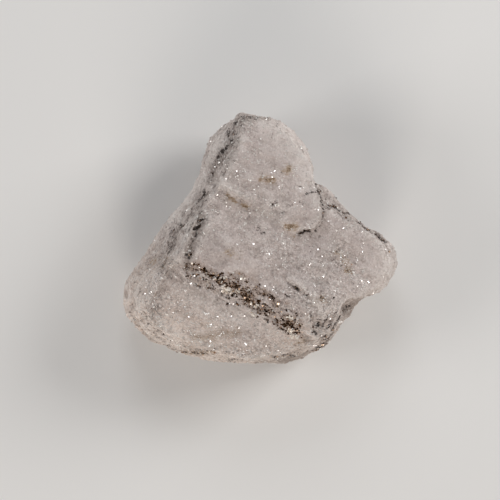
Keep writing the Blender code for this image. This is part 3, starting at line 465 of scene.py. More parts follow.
# Where bright cleavage faces of the stone catch the light, their near-white colour also painting a glint:
# the strongest, then the weaker ones.
strongGlints = [
    (3.5, 7.45), (3.8, 7.25), (7.5, 15.5), (4.65, 1.15), (-4.0, -0.25), (-6.15, 5.5), (9.7, -0.7),
    (5.0, -0.5), (5.0, -5.4), (22.6, -9.4), (20.5, -7.2), (25.3, -11.8), (15.3, -3.3), (-1.1, 10.6),
    (-1.0, 19.1), (-3.7, 18.3), (-3.7, 15.25), (-5.2, 13.7), (4.35, 4.45), (-3.4, 3.4), (2.6, -3.15),
    (17.3, -5.3), (9.7, -10.8), (14.0, -13.7), (11.9, -14.3), (-22.2, -18.8),
    (-12.1, -16.4), (-8.3, -18.1), (-14.3, -14.85), (1.25, -21.55), (-15.2, -21.1), (-9.0, 17.8),
    (-19.7, -16.3), (-18.3, -23.6), (-11.0, -19.1), (-9.3, -21.6), (-3.3, -23.4), (-23.9, -14.85),
    (4.7, 12.2), (7.6, 13.7), (3.9, 23.7), (8.9, 20.3), (-16.1, 6.8), (-22.0, -8.55), (-14.2, 4.8),
    (15.1, -16.8), (17.7, -18.6), (13.5, -20.7), (-2.5, 13.5), (-0.2, 17.3), (-16.6, -13.4),
    (-14.6, -18.4), (-6.4, -19.4), (-5.4, -22.4), (-13.4, -22.9), (-20.4, -12.6),
]
glintSpots = [
    (-9.0, 17.8), (-3.7, 18.3), (-3.2, 17.9), (-1.0, 19.1), (-6.6, 19.1), (-3.7, 15.25), (-5.2, 13.7),
    (-2.5, 13.5), (-4.1, 12.2), (-2.5, 12.8), (-1.1, 10.6), (7.5, 15.5), (5.0, 14.7), (4.7, 12.2),
    (7.6, 13.7), (6.0, 10.6), (3.9, 23.7), (8.9, 20.3), (-6.5, 14.7), (-0.2, 17.3), (-1.2, 17.3),
    (-3.2, 25.5), (-2.6, 25.0), (-3.8, 26.0), (-2.5, 26.1), (-16.1, 6.8), (-11.0, 6.8), (-7.0, 7.0),
    (-6.15, 5.5), (-1.9, 5.6), (-0.8, 4.4), (1.6, 5.6), (0.7, 5.2), (4.35, 4.45), (-3.4, 3.4),
    (-4.35, 3.2), (1.15, 2.2), (4.65, 1.15), (5.0, -0.5), (-4.0, -0.25), (-5.0, -0.8), (-4.1, -1.5),
    (-3.3, -1.4), (-4.2, -2.2), (1.6, -2.8), (2.6, -3.15), (1.6, -3.7), (3.2, -5.4), (5.0, -5.4),
    (-5.0, -4.9), (-7.3, -2.9), (9.7, -0.7), (8.8, 0.25), (10.1, 5.6), (-1.6, -6.5), (-2.7, -6.9),
    (-0.2, -7.9), (10.6, 3.3), (11.9, 8.4), (3.5, 7.45), (3.8, 7.25), (3.9, 7.15), (2.6, 7.2),
    (2.1, 7.6), (1.0, 8.35), (14.1, 7.7), (14.1, 6.4), (15.3, 5.0), (17.9, 6.4), (-14.2, -1.6),
    (-14.2, 4.8), (15.3, -3.3), (17.3, -5.3), (15.5, -5.2), (17.3, -3.6), (17.7, -3.0), (20.5, -7.2),
    (19.3, -7.7), (20.6, -6.0), (22.3, -8.9), (21.9, -9.2), (22.6, -9.4), (25.3, -11.8), (27.7, -2.2),
    (25.9, -9.7), (23.9, -11.3), (23.3, -12.7), (20.7, -11.7), (16.7, -11.5), (11.1, -5.6), (9.7, -10.8),
    (10.4, -11.3), (14.0, -13.7), (11.9, -14.3), (14.2, -14.6), (15.1, -16.8), (15.6, -16.9),
    (17.7, -18.6), (13.5, -20.7), (12.0, -22.0), (13.2, -24.5), (15.4, -23.0), (23.2, 1.4), (20.8, 0.4),
    (16.6, 0.5), (22.7, -2.6), (28.5, -7.6), (2.0, -9.75), (2.65, -11.5), (1.25, -21.55), (-22.0, -8.55),
    (-27.3, -12.6), (-25.5, -13.0), (-22.9, -13.0), (-23.9, -14.85), (-22.2, -18.8), (-14.3, -14.85),
    (-19.7, -16.3), (-18.3, -23.6), (-15.2, -21.1), (-25.5, -21.2), (-12.1, -16.4), (-8.3, -18.1),
    (-11.0, -19.1), (-9.3, -21.6), (-3.3, -23.4), (-8.0, -10.8), (-7.5, -11.0), (-7.0, -11.2),
    (-5.05, -11.4), (-9.0, -8.6), (-4.1, -8.7), (-2.3, -16.2), (6.5, -17.3), (6.0, -20.0), (7.0, -21.2),
]


def fromLine(x, y, points):
    # distance of every point (x, y) from an open line
    nearest = np.hypot(x - points[0][0], y - points[0][1])
    for (ax, ay), (bx, by) in zip(points[:-1], points[1:]):
        dx, dy = bx - ax, by - ay
        along = np.clip(((x - ax) * dx + (y - ay) * dy) / (dx * dx + dy * dy), 0, 1)
        nearest = np.minimum(nearest, np.hypot(x - ax - along * dx, y - ay - along * dy))
    return nearest


def strokes(x, y, lines, dots=(), wider=1.0):
    # 0 to 1 over all points: how strongly the lines and dots mark them
    clear = np.ones(len(x))
    for width, amount, points in [*lines, *((width, amount, [(px, py)]) for px, py, width, amount in dots)]:
        width, ends = width * wider, np.array(points)
        low, high = ends.min(axis=0) - 3 * width, ends.max(axis=0) + 3 * width
        near = np.nonzero((x > low[0]) & (x < high[0]) & (y > low[1]) & (y < high[1]))[0]
        clear[near] *= 1 - amount * np.exp(-((fromLine(x[near], y[near], points) / width) ** 2))
    return 1 - clear


def spots(x, y, points, width):
    # 0 to 1 over all points: how near they are to any of the spots
    amount = np.zeros(len(x))
    for px, py in points:
        amount = np.maximum(amount, np.exp(-(((x - px) ** 2 + (y - py) ** 2) / width**2)))
    return amount


def insideDepth(x, y, outline):
    # distance from a closed outline, positive inside it
    closed = outline + outline[:1]
    crossings = np.zeros(len(x), int)
    for (ax, ay), (bx, by) in zip(closed[:-1], closed[1:]):
        if ay != by:
            crossings += ((ay > y) != (by > y)) & (x < ax + (y - ay) * (bx - ax) / (by - ay))
    return np.where(crossings % 2 == 1, 1, -1) * fromLine(x, y, closed)


def noiseOver(places, size, shift=0.0):
    # one noise value for each place, in lumps of that size
    scaled = places / size + shift
    return np.array([noise.noise(place) for place in scaled])


def ramp(value, low, high):
    # 0 below low, 1 above high, smooth between
    t = np.clip((value - low) / (high - low), 0, 1)
    return t * t * (3 - 2 * t)


def readMesh(mesh):
    # the places of the mesh's points, in millimetres, and the way they face
    count = len(mesh.vertices)
    places, normals = np.empty(count * 3), np.empty(count * 3)
    mesh.vertices.foreach_get("co", places)
    mesh.vertex_normals.foreach_get("vector", normals)
    return places.reshape(-1, 3) / mm, normals.reshape(-1, 3)


def bulge(mesh, places, normals, rounds):
    # how far each point stands out of its surroundings, in millimetres; more rounds look wider
    ends = np.empty(len(mesh.edges) * 2, int)
    mesh.edges.foreach_get("vertices", ends)
    first, second = ends.reshape(-1, 2).T
    links = np.bincount(ends, minlength=len(places))[:, None]
    even = places
    for _ in range(rounds):
        total = np.column_stack([
            np.bincount(first, even[second, axis], len(places))
            + np.bincount(second, even[first, axis], len(places)) for axis in range(3)
        ])
        even = 0.5 * even + 0.5 * total / links
    return np.sum((places - even) * normals, axis=1)


def brokenFaces(places, size, shift):
    # flat faces of about that size, each with its own tilt, as offsets from -1 to 1
    offsets = np.empty(len(places))
    for i, place in enumerate(places / size + shift):
        spot = Vector(place)
        seed = noise.voronoi(spot)[1][0]
        offsets[i] = (spot - seed).dot(noise.cell_vector(seed * 97.0) - Vector((0.5, 0.5, 0.5)))
    return offsets


def readStone(mesh):
    # everything that the wear and the colours depend on, one value for each point of the surface
    places, normals = readMesh(mesh)
    x, y, z = places.T
    jitter = np.column_stack([noiseOver(places, 0.6, 21.0), noiseOver(places, 0.6, 28.0)]) * 0.34
    bend = np.column_stack([noiseOver(places, 2.1, 3.0), noiseOver(places, 2.1, 8.0)]) * 0.45 + jitter
    jx, jy = x + jitter[:, 0], y + jitter[:, 1]
    bx, by = x + bend[:, 0], y + bend[:, 1]
    look = {"places": places, "normals": normals}
    look["up"] = ramp(normals[:, 2], -0.05, 0.25)
    look["steep"] = 1 - ramp(np.abs(normals[:, 2]), 0.25, 0.85)
    look["slope"] = 1 - ramp(np.abs(normals[:, 2]), 0.55, 0.97)
    look["below"] = ramp(-normals[:, 2], 0.90, 0.98) * (z < 0.6)
    look["steep"] = np.maximum(look["steep"], ramp(-normals[:, 2], 0.0, 0.3) * (1 - look["below"]))
    look["dark"] = strokes(jx, jy, darkLines, wider=1.25)
    look["dark"] = np.maximum(look["dark"], 0.8 * strokes(jx, jy, [], darkDots)) * look["up"]
    # soft: the grey streaks together with the painted shade
    look["soft"] = strokes(bx, by, streakAndShadeLines) * ramp(normals[:, 2], -0.05, 0.45)
    look["rust"] = strokes(jx, jy, rustMarks, wider=1.4) * look["up"]
    # light: paler stone and painted highlight
    look["light"] = strokes(x, y, paleAndHighlightParts) * look["up"]
    look["cool"] = strokes(x, y, coolParts) * look["up"]
    look["coarse"] = strokes(x, y, coarseParts)
    look["coarse"] = np.maximum(look["coarse"] * (1 - 0.6 * look["steep"]), 0.3 * look["steep"])
    depth = insideDepth(bx, by, pyriteArea)
    look["band"] = ramp(depth, -0.5, 1.0) * look["up"]
    look["rich"] = strokes(bx, by, pyriteRich) * look["band"]
    look["haze"] = strokes(bx, by, pyriteHaze) * look["up"]
    look["clumps"] = strokes(jx, jy, clumpLines, clumpDots, wider=1.2) * look["up"]

    # the same thin layers with pyrite come out along the steep sides, level and broken up
    sway = noiseOver(places * [1, 1, 0.3], 16.0, 7.0) * 5.0 + noiseOver(places, 3.0, 9.0) * 0.7
    patches = noiseOver(places, 8.0, 1.0)
    seams = np.zeros(len(places))
    for height in stoneShape["seamHeights"]:
        seams = np.maximum(seams, np.exp(-(((z + sway - height) / stoneShape["seamThickness"]) ** 2)))
    hidden = 1 - strokes(x, y, seamlessParts)
    look["seams"] = seams * ramp(patches, -0.05, 0.3) * look["steep"] * ramp(hidden, 0.3, 0.8)
    look["patches"] = patches
    look["flank"] = strokes(x, y, flankParts)
    # loose grains keep clear of the floor and of the stone's widest points
    room = np.minimum(places - boxLow, boxHigh - places).min(axis=1)
    look["room"] = (room > 0.5) * (1 - look["below"])
    look["layers"] = noiseOver(np.column_stack([x, y, (z + sway * 0.4) * 7]), 8.0, 5.0)
    along = np.column_stack([0.86 * bx - 0.5 * by, (0.5 * bx + 0.86 * by) * 9.0, z])
    look["flow"] = noiseOver(along, 9.0, 31.0)
    return look


def wearStone(obj):
    mesh, shape = obj.data, stoneShape
    look = readStone(mesh)
    places, normals, steep, band = look["places"], look["normals"], look["steep"], look["band"]
    fine = noiseOver(places, 0.85, 2.0) + 0.6 * noiseOver(places, 0.5, 4.0)
    chips = noiseOver(places, 2.6, 6.0)
    chips = np.sign(chips) * np.abs(chips) ** 0.7
    rough = 0.08 + 0.92 * steep
    out = shape["grainRelief"] * fine * (0.55 + 1.3 * band + 1.3 * look["coarse"])
    out += shape["chipRelief"] * chips * (0.28 + 0.5 * steep + 0.5 * band)
    for size, relief in zip(shape["facetSizes"], shape["facetRelief"]):
        out += relief * brokenFaces(places, size, 5.0) * rough
    out += shape["layerRelief"] * look["layers"] * steep
    out += shape["flowRelief"] * look["flow"] * (1 - steep)
    out -= (
        shape["darkDepth"] * look["dark"] + shape["softDepth"] * look["soft"]
        + shape["clumpDepth"] * look["clumps"]
    )
    out -= shape["rustDepth"] * look["rust"] + shape["seamDepth"] * look["seams"] + shape["bandDepth"] * band
    out += shape["lightHeight"] * look["light"]
    worn = strokes(places[:, 0], places[:, 1], wornParts) * look["up"]
    out -= worn * bulge(mesh, places, normals, shape["wornRounds"])
    out = np.where(look["below"] > 0.5, shape["undersideRelief"] * (fine + chips - 1.2), out)
    out = np.minimum(out, shape["mostOut"]) - shape["shrink"]

    # nothing goes below the floor or outside the solid stone's box
    moved = np.clip(places + normals * out[:, None], boxLow, boxHigh)
    mesh.vertices.foreach_set("co", (moved * mm).ravel())
    mesh.update()
    fewer = obj.modifiers.new("fewer", "DECIMATE")
    fewer.ratio = shape["triangles"] / (2 * len(mesh.polygons))
    finishedMesh(obj)
    splitMarked(obj.data)
    places = readMesh(obj.data)[0]
    obj.data.vertices.foreach_set("co", (np.clip(places, boxLow, boxHigh) * mm).ravel())


def splitMarked(mesh):
    # smaller faces where the small dark marks lie, so that these come out sharp
    places, normals = readMesh(mesh)
    x, y = places[:, 0], places[:, 1]
    marked = np.maximum(strokes(x, y, darkLines, darkDots), strokes(x, y, clumpLines, clumpDots))
    marked = (marked > 0.08) & (normals[:, 2] > 0)
    work = bmesh.new()
    work.from_mesh(mesh)
    work.verts.ensure_lookup_table()
    edges = [edge for edge in work.edges if any(marked[vert.index] for vert in edge.verts)]
    bmesh.ops.subdivide_edges(work, edges=edges, cuts=1, use_grid_fill=True)
    bmesh.ops.triangulate(work, faces=work.faces[:])
    work.to_mesh(mesh)
    work.free()


def markStone(obj):
    # what the colours read: one value from 0 to 1 for each point of the surface
    mesh = obj.data
    look = readStone(mesh)
    places, steep, band, rich = look["places"], look["steep"], look["band"], look["rich"]
    dark, clumps, seams, coarse = look["dark"], look["clumps"], look["seams"], look["coarse"]
    x, y, z = places.T
    small = bulge(mesh, places, look["normals"], 12)
    wide = bulge(mesh, places, look["normals"], 90)
    # edge: lighter on convex edges, paler rubbed grains and a painted highlight
    edge = ramp(small, 0.006, 0.06) * 0.3 + ramp(wide, 0.05, 0.45) * 0.6
    # painted shade: how far each point lies in a hollow, to darken it
    hollowShade = ramp(-small, 0.006, 0.05) * 0.6 + ramp(-wide, 0.03, 0.30) * 0.8
    # grey streaks and layer lines, with painted shade along the rims and in the creases
    stainAndShade = look["soft"] + 0.35 * steep * ramp(look["layers"], 0.05, 0.4)
    stained = look["rust"] + 0.25 * look["below"] * ramp(look["patches"], 0, 0.4)
    # painted warm light: warmer towards the bottom, the lower left and the steep sides
    paintedWarmLight = 0.85 * ramp(-y - 0.2 * z, 0, 26) * (1 - 0.4 * steep) + 0.2 * steep
    paintedWarmLight += 0.45 * ramp(-x - 0.4 * y, 14, 30)
    grains = band * (0.05 + 0.25 * rich) + 0.9 * clumps + 0.25 * dark**2 + 0.12 * seams + 0.0001
    scattered = 0.35 + 0.65 * ramp(noiseOver(places, 2.4, 12.0), 0.0, 0.5)
    spar = scattered * (0.6 + 1.1 * coarse) * (1 - 0.4 * steep)
    strong = spots(x, y, strongGlints, 0.22) + 0.3 * spots(x, y, glintSpots, 0.20)
    sugar = (0.16 + 0.84 * coarse + 0.3 * band) * (0.4 + 0.6 * ramp(look["patches"], -0.3, 0.3))
    sugar = sugar * (1 - 0.5 * steep) * (1 - 0.8 * dark) * (1 - 0.8 * clumps)
    marks = {
        # dark pyrite dust, and round the flake a painted shadow
        "dustAndShadow": np.clip(dark + 0.6 * seams, 0, 1),
        "stainAndShade": np.clip(stainAndShade, 0, 1),
        "rust": np.clip(stained, 0, 1),
        "light": look["light"],
        "cool": look["cool"],
        "flow": ramp(look["flow"], -0.5, 0.5),
        "coarse": coarse,
        "edge": np.clip(edge, 0, 1),
        "hollowShade": np.clip(hollowShade, 0, 1),
        "steep": steep,
        "slope": look["slope"],
        "band": band,
        "rich": rich,
        "haze": look["haze"],
        "clumps": clumps,
        "paintedWarmLight": np.clip(paintedWarmLight, 0, 1),
        "flank": look["flank"],
        "tone": np.full(len(x), 0.5),
        # how densely each kind of crystal covers the stone
        "grainCover": grains * look["room"],
        "sparCover": spar * look["room"] * (1 - 0.6 * dark),
        "glintCover": strong * look["up"],
        "sugarCover": np.clip(sugar, 0, 1) * look["room"],
        "clusterCover": strokes(x, y, brightClusters, brightDots) * look["up"],
    }
    for name, amount in marks.items():
        layer = mesh.attributes.new(name, "FLOAT", "POINT")
        layer.data.foreach_set("value", np.asarray(amount, np.float32))


print("stage: stone skin")
stone = stoneShell()
wearStone(stone)
stone.data.shade_smooth()
print("stage: stone marks")
markStone(stone)
print("stone triangles:", sum(len(face.vertices) - 2 for face in stone.data.polygons))


class Wire:
    # an output of a shader or geometry node; arithmetic on it adds Math nodes to its tree
    def __init__(self, tree, socket=None):
        self.tree = tree
        self.socket = socket

    def node(self, kind, settings=None, sockets=None, output=0):
        made = self.tree.nodes.new(kind)
        for name, value in (settings or {}).items():
            setattr(made, name, value)
        for name, value in (sockets or {}).items():
            if isinstance(value, Wire):
                self.tree.links.new(value.socket, made.inputs[name])
            else:
                made.inputs[name].default_value = value
        return Wire(self.tree, made.outputs[output])

    def beside(self, output):
        # another output of the same node
        return Wire(self.tree, self.socket.node.outputs[output])

    def math(self, operation, *values):
        return self.node("ShaderNodeMath", {"operation": operation}, dict(enumerate(values)))

    def __add__(self, other):
        return self.math("ADD", self, other)

    def __sub__(self, other):
        return self.math("SUBTRACT", self, other)

    def __rsub__(self, other):
        return self.math("SUBTRACT", other, self)

    def __mul__(self, other):
        return self.math("MULTIPLY", self, other)

    def __pow__(self, other):
        return self.math("POWER", self, other)

    __radd__ = __add__
    __rmul__ = __mul__

    def between(self, low, high):
        # 0 below low, 1 above high, smooth between
        ends = {"Value": self, "From Min": low, "From Max": high}
        return self.node("ShaderNodeMapRange", {"interpolation_type": "SMOOTHSTEP"}, ends)

    def mix(self, first, second):
        # from the first colour to the second as this value goes from 0 to 1
        settings = {"data_type": "RGBA", "clamp_factor": True}
        return self.node("ShaderNodeMix", settings, {0: self, 6: first, 7: second}, 2)


def startMaterial(name):
    material = bpy.data.materials.new(name)
    material.use_nodes = True
    tree = material.node_tree
    shader = tree.nodes["Principled BSDF"]
    return material, Wire(tree), shader


def plug(wire, shader, socket):
    wire.tree.links.new(wire.socket, shader.inputs[socket])


def attribute(start, name):
    return start.node("ShaderNodeAttribute", {"attribute_name": name}, output=2)


def turned(start, place, degrees, stretch):
    # places along and across a direction on the upper face; patterns there come out stretched along it
    settings = {"vector_type": "TEXTURE"}
    sockets = {"Vector": place, "Rotation": (0.0, 0.0, math.radians(degrees)), "Scale": (stretch, 1.0, 1.0)}
    return start.node("ShaderNodeMapping", settings, sockets)


def noiseOf(start, place, size, detail=2.0, roughness=0.5):
    # noise from 0 to 1, in lumps of that size in millimetres
    sockets = {"Vector": place, "Scale": 1000.0 / size, "Detail": detail, "Roughness": roughness}
    return start.node("ShaderNodeTexNoise", {}, sockets)


def cellsOf(start, place, size, output=0):
    # Voronoi cells of that size in millimetres: distance, or colour with output 1
    return start.node("ShaderNodeTexVoronoi", {}, {"Vector": place, "Scale": 1000.0 / size}, output)


def rgb(red, green, blue):
    return (red, green, blue, 1.0)


stoneLook = {
    "pale": rgb(0.60, 0.512, 0.482),
    "dull": rgb(0.475, 0.396, 0.368),
    "cool": rgb(0.440, 0.380, 0.370),
    # the colour of the painted warm light
    "warmLightCream": rgb(0.66, 0.53, 0.455),
    "whiteGrainAndHighlight": rgb(0.83, 0.775, 0.735),
    "greyGrain": rgb(0.27, 0.225, 0.205),
    # grey of the streaks and layer lines, also the colour of the painted shade
    "stainAndShade": rgb(0.25, 0.205, 0.180),
    "dustGrey": rgb(0.050, 0.036, 0.030),
    "dustBrown": rgb(0.048, 0.022, 0.009),
    "brown": rgb(0.20, 0.110, 0.060),
    "bandGround": rgb(0.34, 0.225, 0.155),
    "tan": rgb(0.40, 0.285, 0.185),
    "rust": rgb(0.13, 0.075, 0.035),
    "flankAngle": 60.0,   # which way the specks run, in degrees
    "bandAngle": -33.0,
    "roughness": 0.62,
    "bump": 1.0,
    "bumpHeight": 0.18 * mm,
}


def stoneMaterial():
    look = stoneLook
    material, start, shader = startMaterial("granularStone")
    place = start.node("ShaderNodeTexCoord", output=3)
    dustAndShadow, stainAndShade, rust, light, cool, steep, slope, haze, band = (
        attribute(start, name)
        for name in ("dustAndShadow", "stainAndShade", "rust", "light", "cool", "steep", "slope", "haze", "band")
    )
    rich, clumps, paintedWarmLight, flow, coarse, edge, hollowShade, flank, tone = (
        attribute(start, name)
        for name in ("rich", "clumps", "paintedWarmLight", "flow", "coarse", "edge", "hollowShade", "flank", "tone")
    )

    broad = noiseOf(start, place, 9.0, 1.5)
    mottle = noiseOf(start, place, 1.5, 3.0, 0.65)
    fine = noiseOf(start, place, 0.40, 3.0, 0.7)
    flat = start.node("ShaderNodeMapping", {}, {"Vector": place, "Scale": (1.0, 1.0, 7.0)})
    layer = noiseOf(start, flat, 4.5, 4.0, 0.7)
    thin = noiseOf(start, flat, 1.9, 3.0, 0.6)
    cell = start.node("ShaderNodeSeparateColor", {}, {0: cellsOf(start, place, 0.31, 1)})
    flaw = start.node("ShaderNodeSeparateColor", {}, {0: cellsOf(start, place, 0.38, 1)})
    sugar = 0.62 + 1.05 * coarse + 0.3 * slope * (1 - steep)

    # the stone itself, with its sugary grains
    colour = (broad * 0.8 + mottle * 0.35).between(0.34, 0.92).mix(look["pale"], look["dull"])
    colour = (cool * 0.75 + (broad * -1 + 0.42) * 0.8).between(0.1, 1.0).mix(colour, look["cool"])
    # painted warm light, warmer towards the bottom and the lower left
    colour = (paintedWarmLight * (0.45 + 0.9 * broad)).between(0.05, 0.85).mix(colour, look["warmLightCream"])
    colour = (cell.between(0.45, 1.0) * sugar * 0.52).mix(colour, look["whiteGrainAndHighlight"])
    colour = (flaw.between(0.45, 1.0) * sugar * 0.44).mix(colour, look["greyGrain"])
    colour = (tone.between(0.5, 1.0) * 0.45).mix(colour, look["whiteGrainAndHighlight"])
    colour = ((1 - tone).between(0.5, 1.0) * 0.30).mix(colour, look["greyGrain"])
    streak = (flow * 0.7 + mottle * 0.5).between(0.5, 0.85) * (1 - steep)
    colour = (streak * 0.18).mix(colour, look["cool"])
    ledge = slope * (1 - 0.6 * steep)
    colour = (slope * layer.between(0.50, 0.64) * 0.30).mix(colour, look["stainAndShade"])
    colour = (ledge * thin.between(0.52, 0.62) * 0.22).mix(colour, look["brown"])
    colour = (ledge * (1 - thin).between(0.46, 0.58) * 0.55).mix(colour, look["whiteGrainAndHighlight"])
    # lighter convex edges: paler rubbed grains and a painted highlight
    colour = (edge * (mottle + fine * 1.2 - 0.65) * 0.8).mix(colour, look["whiteGrainAndHighlight"])
    # painted shade, darker in the hollows
    colour = (hollowShade * (0.14 + 0.34 * mottle)).mix(colour, look["stainAndShade"])
    # paler stone and painted highlight, lightening the colour
    colour = (light * 0.5).mix(colour, look["whiteGrainAndHighlight"])

    # brown stains, darker in their middles
    sideways = start.node("ShaderNodeMapping", {}, {"Vector": place, "Scale": (1.0, 2.4, 2.4)})
    smear = noiseOf(start, sideways, 0.9, 4.0, 0.8).between(0.36, 0.64)
    colour = ((rust * 1.5 + smear * 0.7 - 0.6).between(0.0, 0.9) * 0.85).mix(colour, look["tan"])
    colour = ((rust * 1.3 + smear * 0.8 - 1.15).between(0.0, 0.6) * 0.85).mix(colour, look["rust"])

    # dark powdered pyrite: ragged clumps, and between them fine dashes along the streaks
    flankDashes = noiseOf(start, turned(start, place, look["flankAngle"], 3.2), 0.42, 4.0, 0.75)
    bandDashes = noiseOf(start, turned(start, place, look["bandAngle"], 1.5), 0.38, 4.0, 0.75)
    dashes = flankDashes * flank + bandDashes * (1 - flank)
    speckle = dashes.between(0.35, 0.65)
    clump = noiseOf(start, turned(start, place, look["bandAngle"], 1.7), 1.8, 3.0, 0.6).between(0.40, 0.62)
    inBand = (band * 1.5 + clump - 1.0).between(0.0, 0.8)
    bandPart = (haze * 0.85 + inBand * 0.25 + clump * 0.4 - 0.25).between(0.0, 0.8)
    colour = (bandPart * (0.20 + 0.30 * clump + 0.25 * rich)).mix(colour, look["bandGround"])
    # grey streaks, and painted shade along the rims, creases and shelf
    colour = (stainAndShade * (mottle * 0.6 + dashes * 0.9)).between(0.0, 1.1).mix(colour, look["stainAndShade"])
    cover = dustAndShadow * 0.95 + stainAndShade * flank * 0.27 + bandPart * (0.08 + 0.11 * rich + 0.10 * clump) + clumps
    cover = cover + coarse * 0.055
    halo = (speckle + cover * 1.3 - 0.84).between(0.0, 0.55) * cover.between(0.0, 0.3)
    veil = band.between(0.0, 0.5).mix(look["stainAndShade"], look["brown"])
    colour = (halo * 0.65).mix(colour, veil)
    specks = (speckle + cover * 1.05 - 1.0).between(0.0, 0.14)
    dustColour = band.between(0.0, 0.5).mix(look["dustGrey"], look["dustBrown"])
    colour = (specks * (cover * 0.75 + band * 0.5 + 0.42)).mix(colour, dustColour)
    lone = (cellsOf(start, place, 2.8) * -1 + fine * 0.15 - 0.012).between(0, 0.02)
    colour = (lone * 0.36).mix(colour, look["dustGrey"])
    plug(colour, shader, "Base Color")

    rough = look["roughness"] + fine * 0.16 - cell * 0.12 - specks * 0.06 - tone * 0.24 + 0.12
    plug(rough, shader, "Roughness")
    plug(specks * band * 0.9, shader, "Metallic")
    relief = cellsOf(start, place, 0.36) * 0.8 + fine * 0.9 + noiseOf(start, place, 0.18, 2.0, 0.7) * 0.4
    relief = relief * (0.7 + 0.6 * coarse) + steep * layer * 0.4 + streak * 0.4 - specks * 0.4
    bump = start.node(
        "ShaderNodeBump", {}, {"Height": relief, "Strength": look["bump"], "Distance": look["bumpHeight"]}
    )
    plug(bump, shader, "Normal")
    return material


print("stage: stone finish")
stone.data.materials.clear()
stoneFinish = stoneMaterial()
stone.data.materials.append(stoneFinish)


def crystalShapes(name, seed, count, stretch, sunk, cutCorner=True):
    # a few slightly uneven blocks, each 1 m across until they are scattered; sunk: how deep they sit
    chance = random.Random(seed)
    group = bpy.data.collections.new(name)
    for number in range(count):
        work = bmesh.new()
        bmesh.ops.create_cube(work, size=1.0)
        for vert in work.verts:
            vert.co = Vector([axis * chance.uniform(0.85, 1.1) for axis in vert.co])
            vert.co = Vector((vert.co.x, vert.co.y + stretch * vert.co.x, vert.co.z))
        corner = chance.choice(list(work.verts))
        if cutCorner:
            bmesh.ops.bisect_plane(
                work, geom=work.verts[:] + work.edges[:] + work.faces[:],
                plane_co=corner.co * 0.72, plane_no=corner.co.normalized(), clear_outer=True,
            )
            bmesh.ops.holes_fill(work, edges=work.edges[:])
        bmesh.ops.translate(work, verts=work.verts[:], vec=(0, 0, -sunk))
        bmesh.ops.triangulate(work, faces=work.faces[:])
        bmesh.ops.recalc_face_normals(work, faces=work.faces[:])
        mesh = bpy.data.meshes.new(f"{name}{number}")
        work.to_mesh(mesh)
        work.free()
        group.objects.link(bpy.data.objects.new(f"{name}{number}", mesh))
    return group


def scatterTree():
    # points over a surface, each with one of a few shapes at its own size, turn and tone
    tree = bpy.data.node_groups.new("scatterCrystals", "GeometryNodeTree")
    tree.interface.new_socket("Geometry", in_out="OUTPUT", socket_type="NodeSocketGeometry")
    for name, kind in (
        ("Geometry", "Geometry"), ("Shapes", "Collection"), ("Where", "String"), ("Density", "Float"),
        ("Smallest", "Float"), ("Largest", "Float"), ("Rarity", "Float"), ("Lean", "Float"),
        ("Tilt", "Float"), ("Dullest", "Float"), ("Brightest", "Float"), ("Seed", "Int"),
        ("Material", "Material"),
    ):
        tree.interface.new_socket(name, in_out="INPUT", socket_type="NodeSocket" + kind)
    inputs = tree.nodes.new("NodeGroupInput").outputs
    given = {socket.name: Wire(tree, socket) for socket in inputs if socket.name}
    add = Wire(tree).node

    where = add("GeometryNodeInputNamedAttribute", {"data_type": "FLOAT"}, {"Name": given["Where"]})
    points = add(
        "GeometryNodeDistributePointsOnFaces", {},
        {"Mesh": given["Geometry"], "Density": where * given["Density"], "Seed": given["Seed"]},
    )
    chance = add("FunctionNodeRandomValue", {"data_type": "FLOAT"}, {"Seed": given["Seed"]}, 1)
    size = add(
        "ShaderNodeMapRange", {},
        {"Value": chance ** given["Rarity"], "To Min": given["Smallest"], "To Max": given["Largest"]},
    )
    uneven = add(
        "FunctionNodeRandomValue", {"data_type": "FLOAT_VECTOR"},
        {0: (0.75, 0.75, 0.75), 1: (1.2, 1.2, 1.2), "Seed": 11},
    )
    scale = add("ShaderNodeVectorMath", {"operation": "SCALE"}, {0: uneven, "Scale": size})
    lean, tilt = given["Lean"], given["Tilt"]
    turn = add(
        "FunctionNodeRandomValue", {"data_type": "FLOAT_VECTOR"},
        {
            0: add("ShaderNodeCombineXYZ", {}, {0: lean - tilt, 1: tilt * -1.0, 2: 0.0}),
            1: add("ShaderNodeCombineXYZ", {}, {0: lean + tilt, 1: tilt, 2: math.tau}),
            "Seed": 23,
        },
    )
    facing = add(
        "FunctionNodeRotateRotation", {"rotation_space": "LOCAL"},
        {0: points.beside("Rotation"), 1: add("FunctionNodeEulerToRotation", {}, {0: turn})},
    )
    shapes = add(
        "GeometryNodeCollectionInfo", {},
        {"Collection": given["Shapes"], "Separate Children": True, "Reset Children": True},
    )
    placed = add(
        "GeometryNodeInstanceOnPoints", {},
        {"Points": points, "Instance": shapes, "Pick Instance": True, "Rotation": facing, "Scale": scale},
    )
    tone = add(
        "FunctionNodeRandomValue", {"data_type": "FLOAT"},
        {2: given["Dullest"], 3: given["Brightest"], "Seed": 37}, 1,
    )
    toned = add(
        "GeometryNodeStoreNamedAttribute", {"data_type": "FLOAT", "domain": "INSTANCE"},
        {"Geometry": placed, "Name": "tone", "Value": tone},
    )
    real = add("GeometryNodeRealizeInstances", {}, {"Geometry": toned})
    finished = add("GeometryNodeSetMaterial", {}, {"Geometry": real, "Material": given["Material"]})
    tree.links.new(finished.socket, tree.nodes.new("NodeGroupOutput").inputs[0])
    return tree


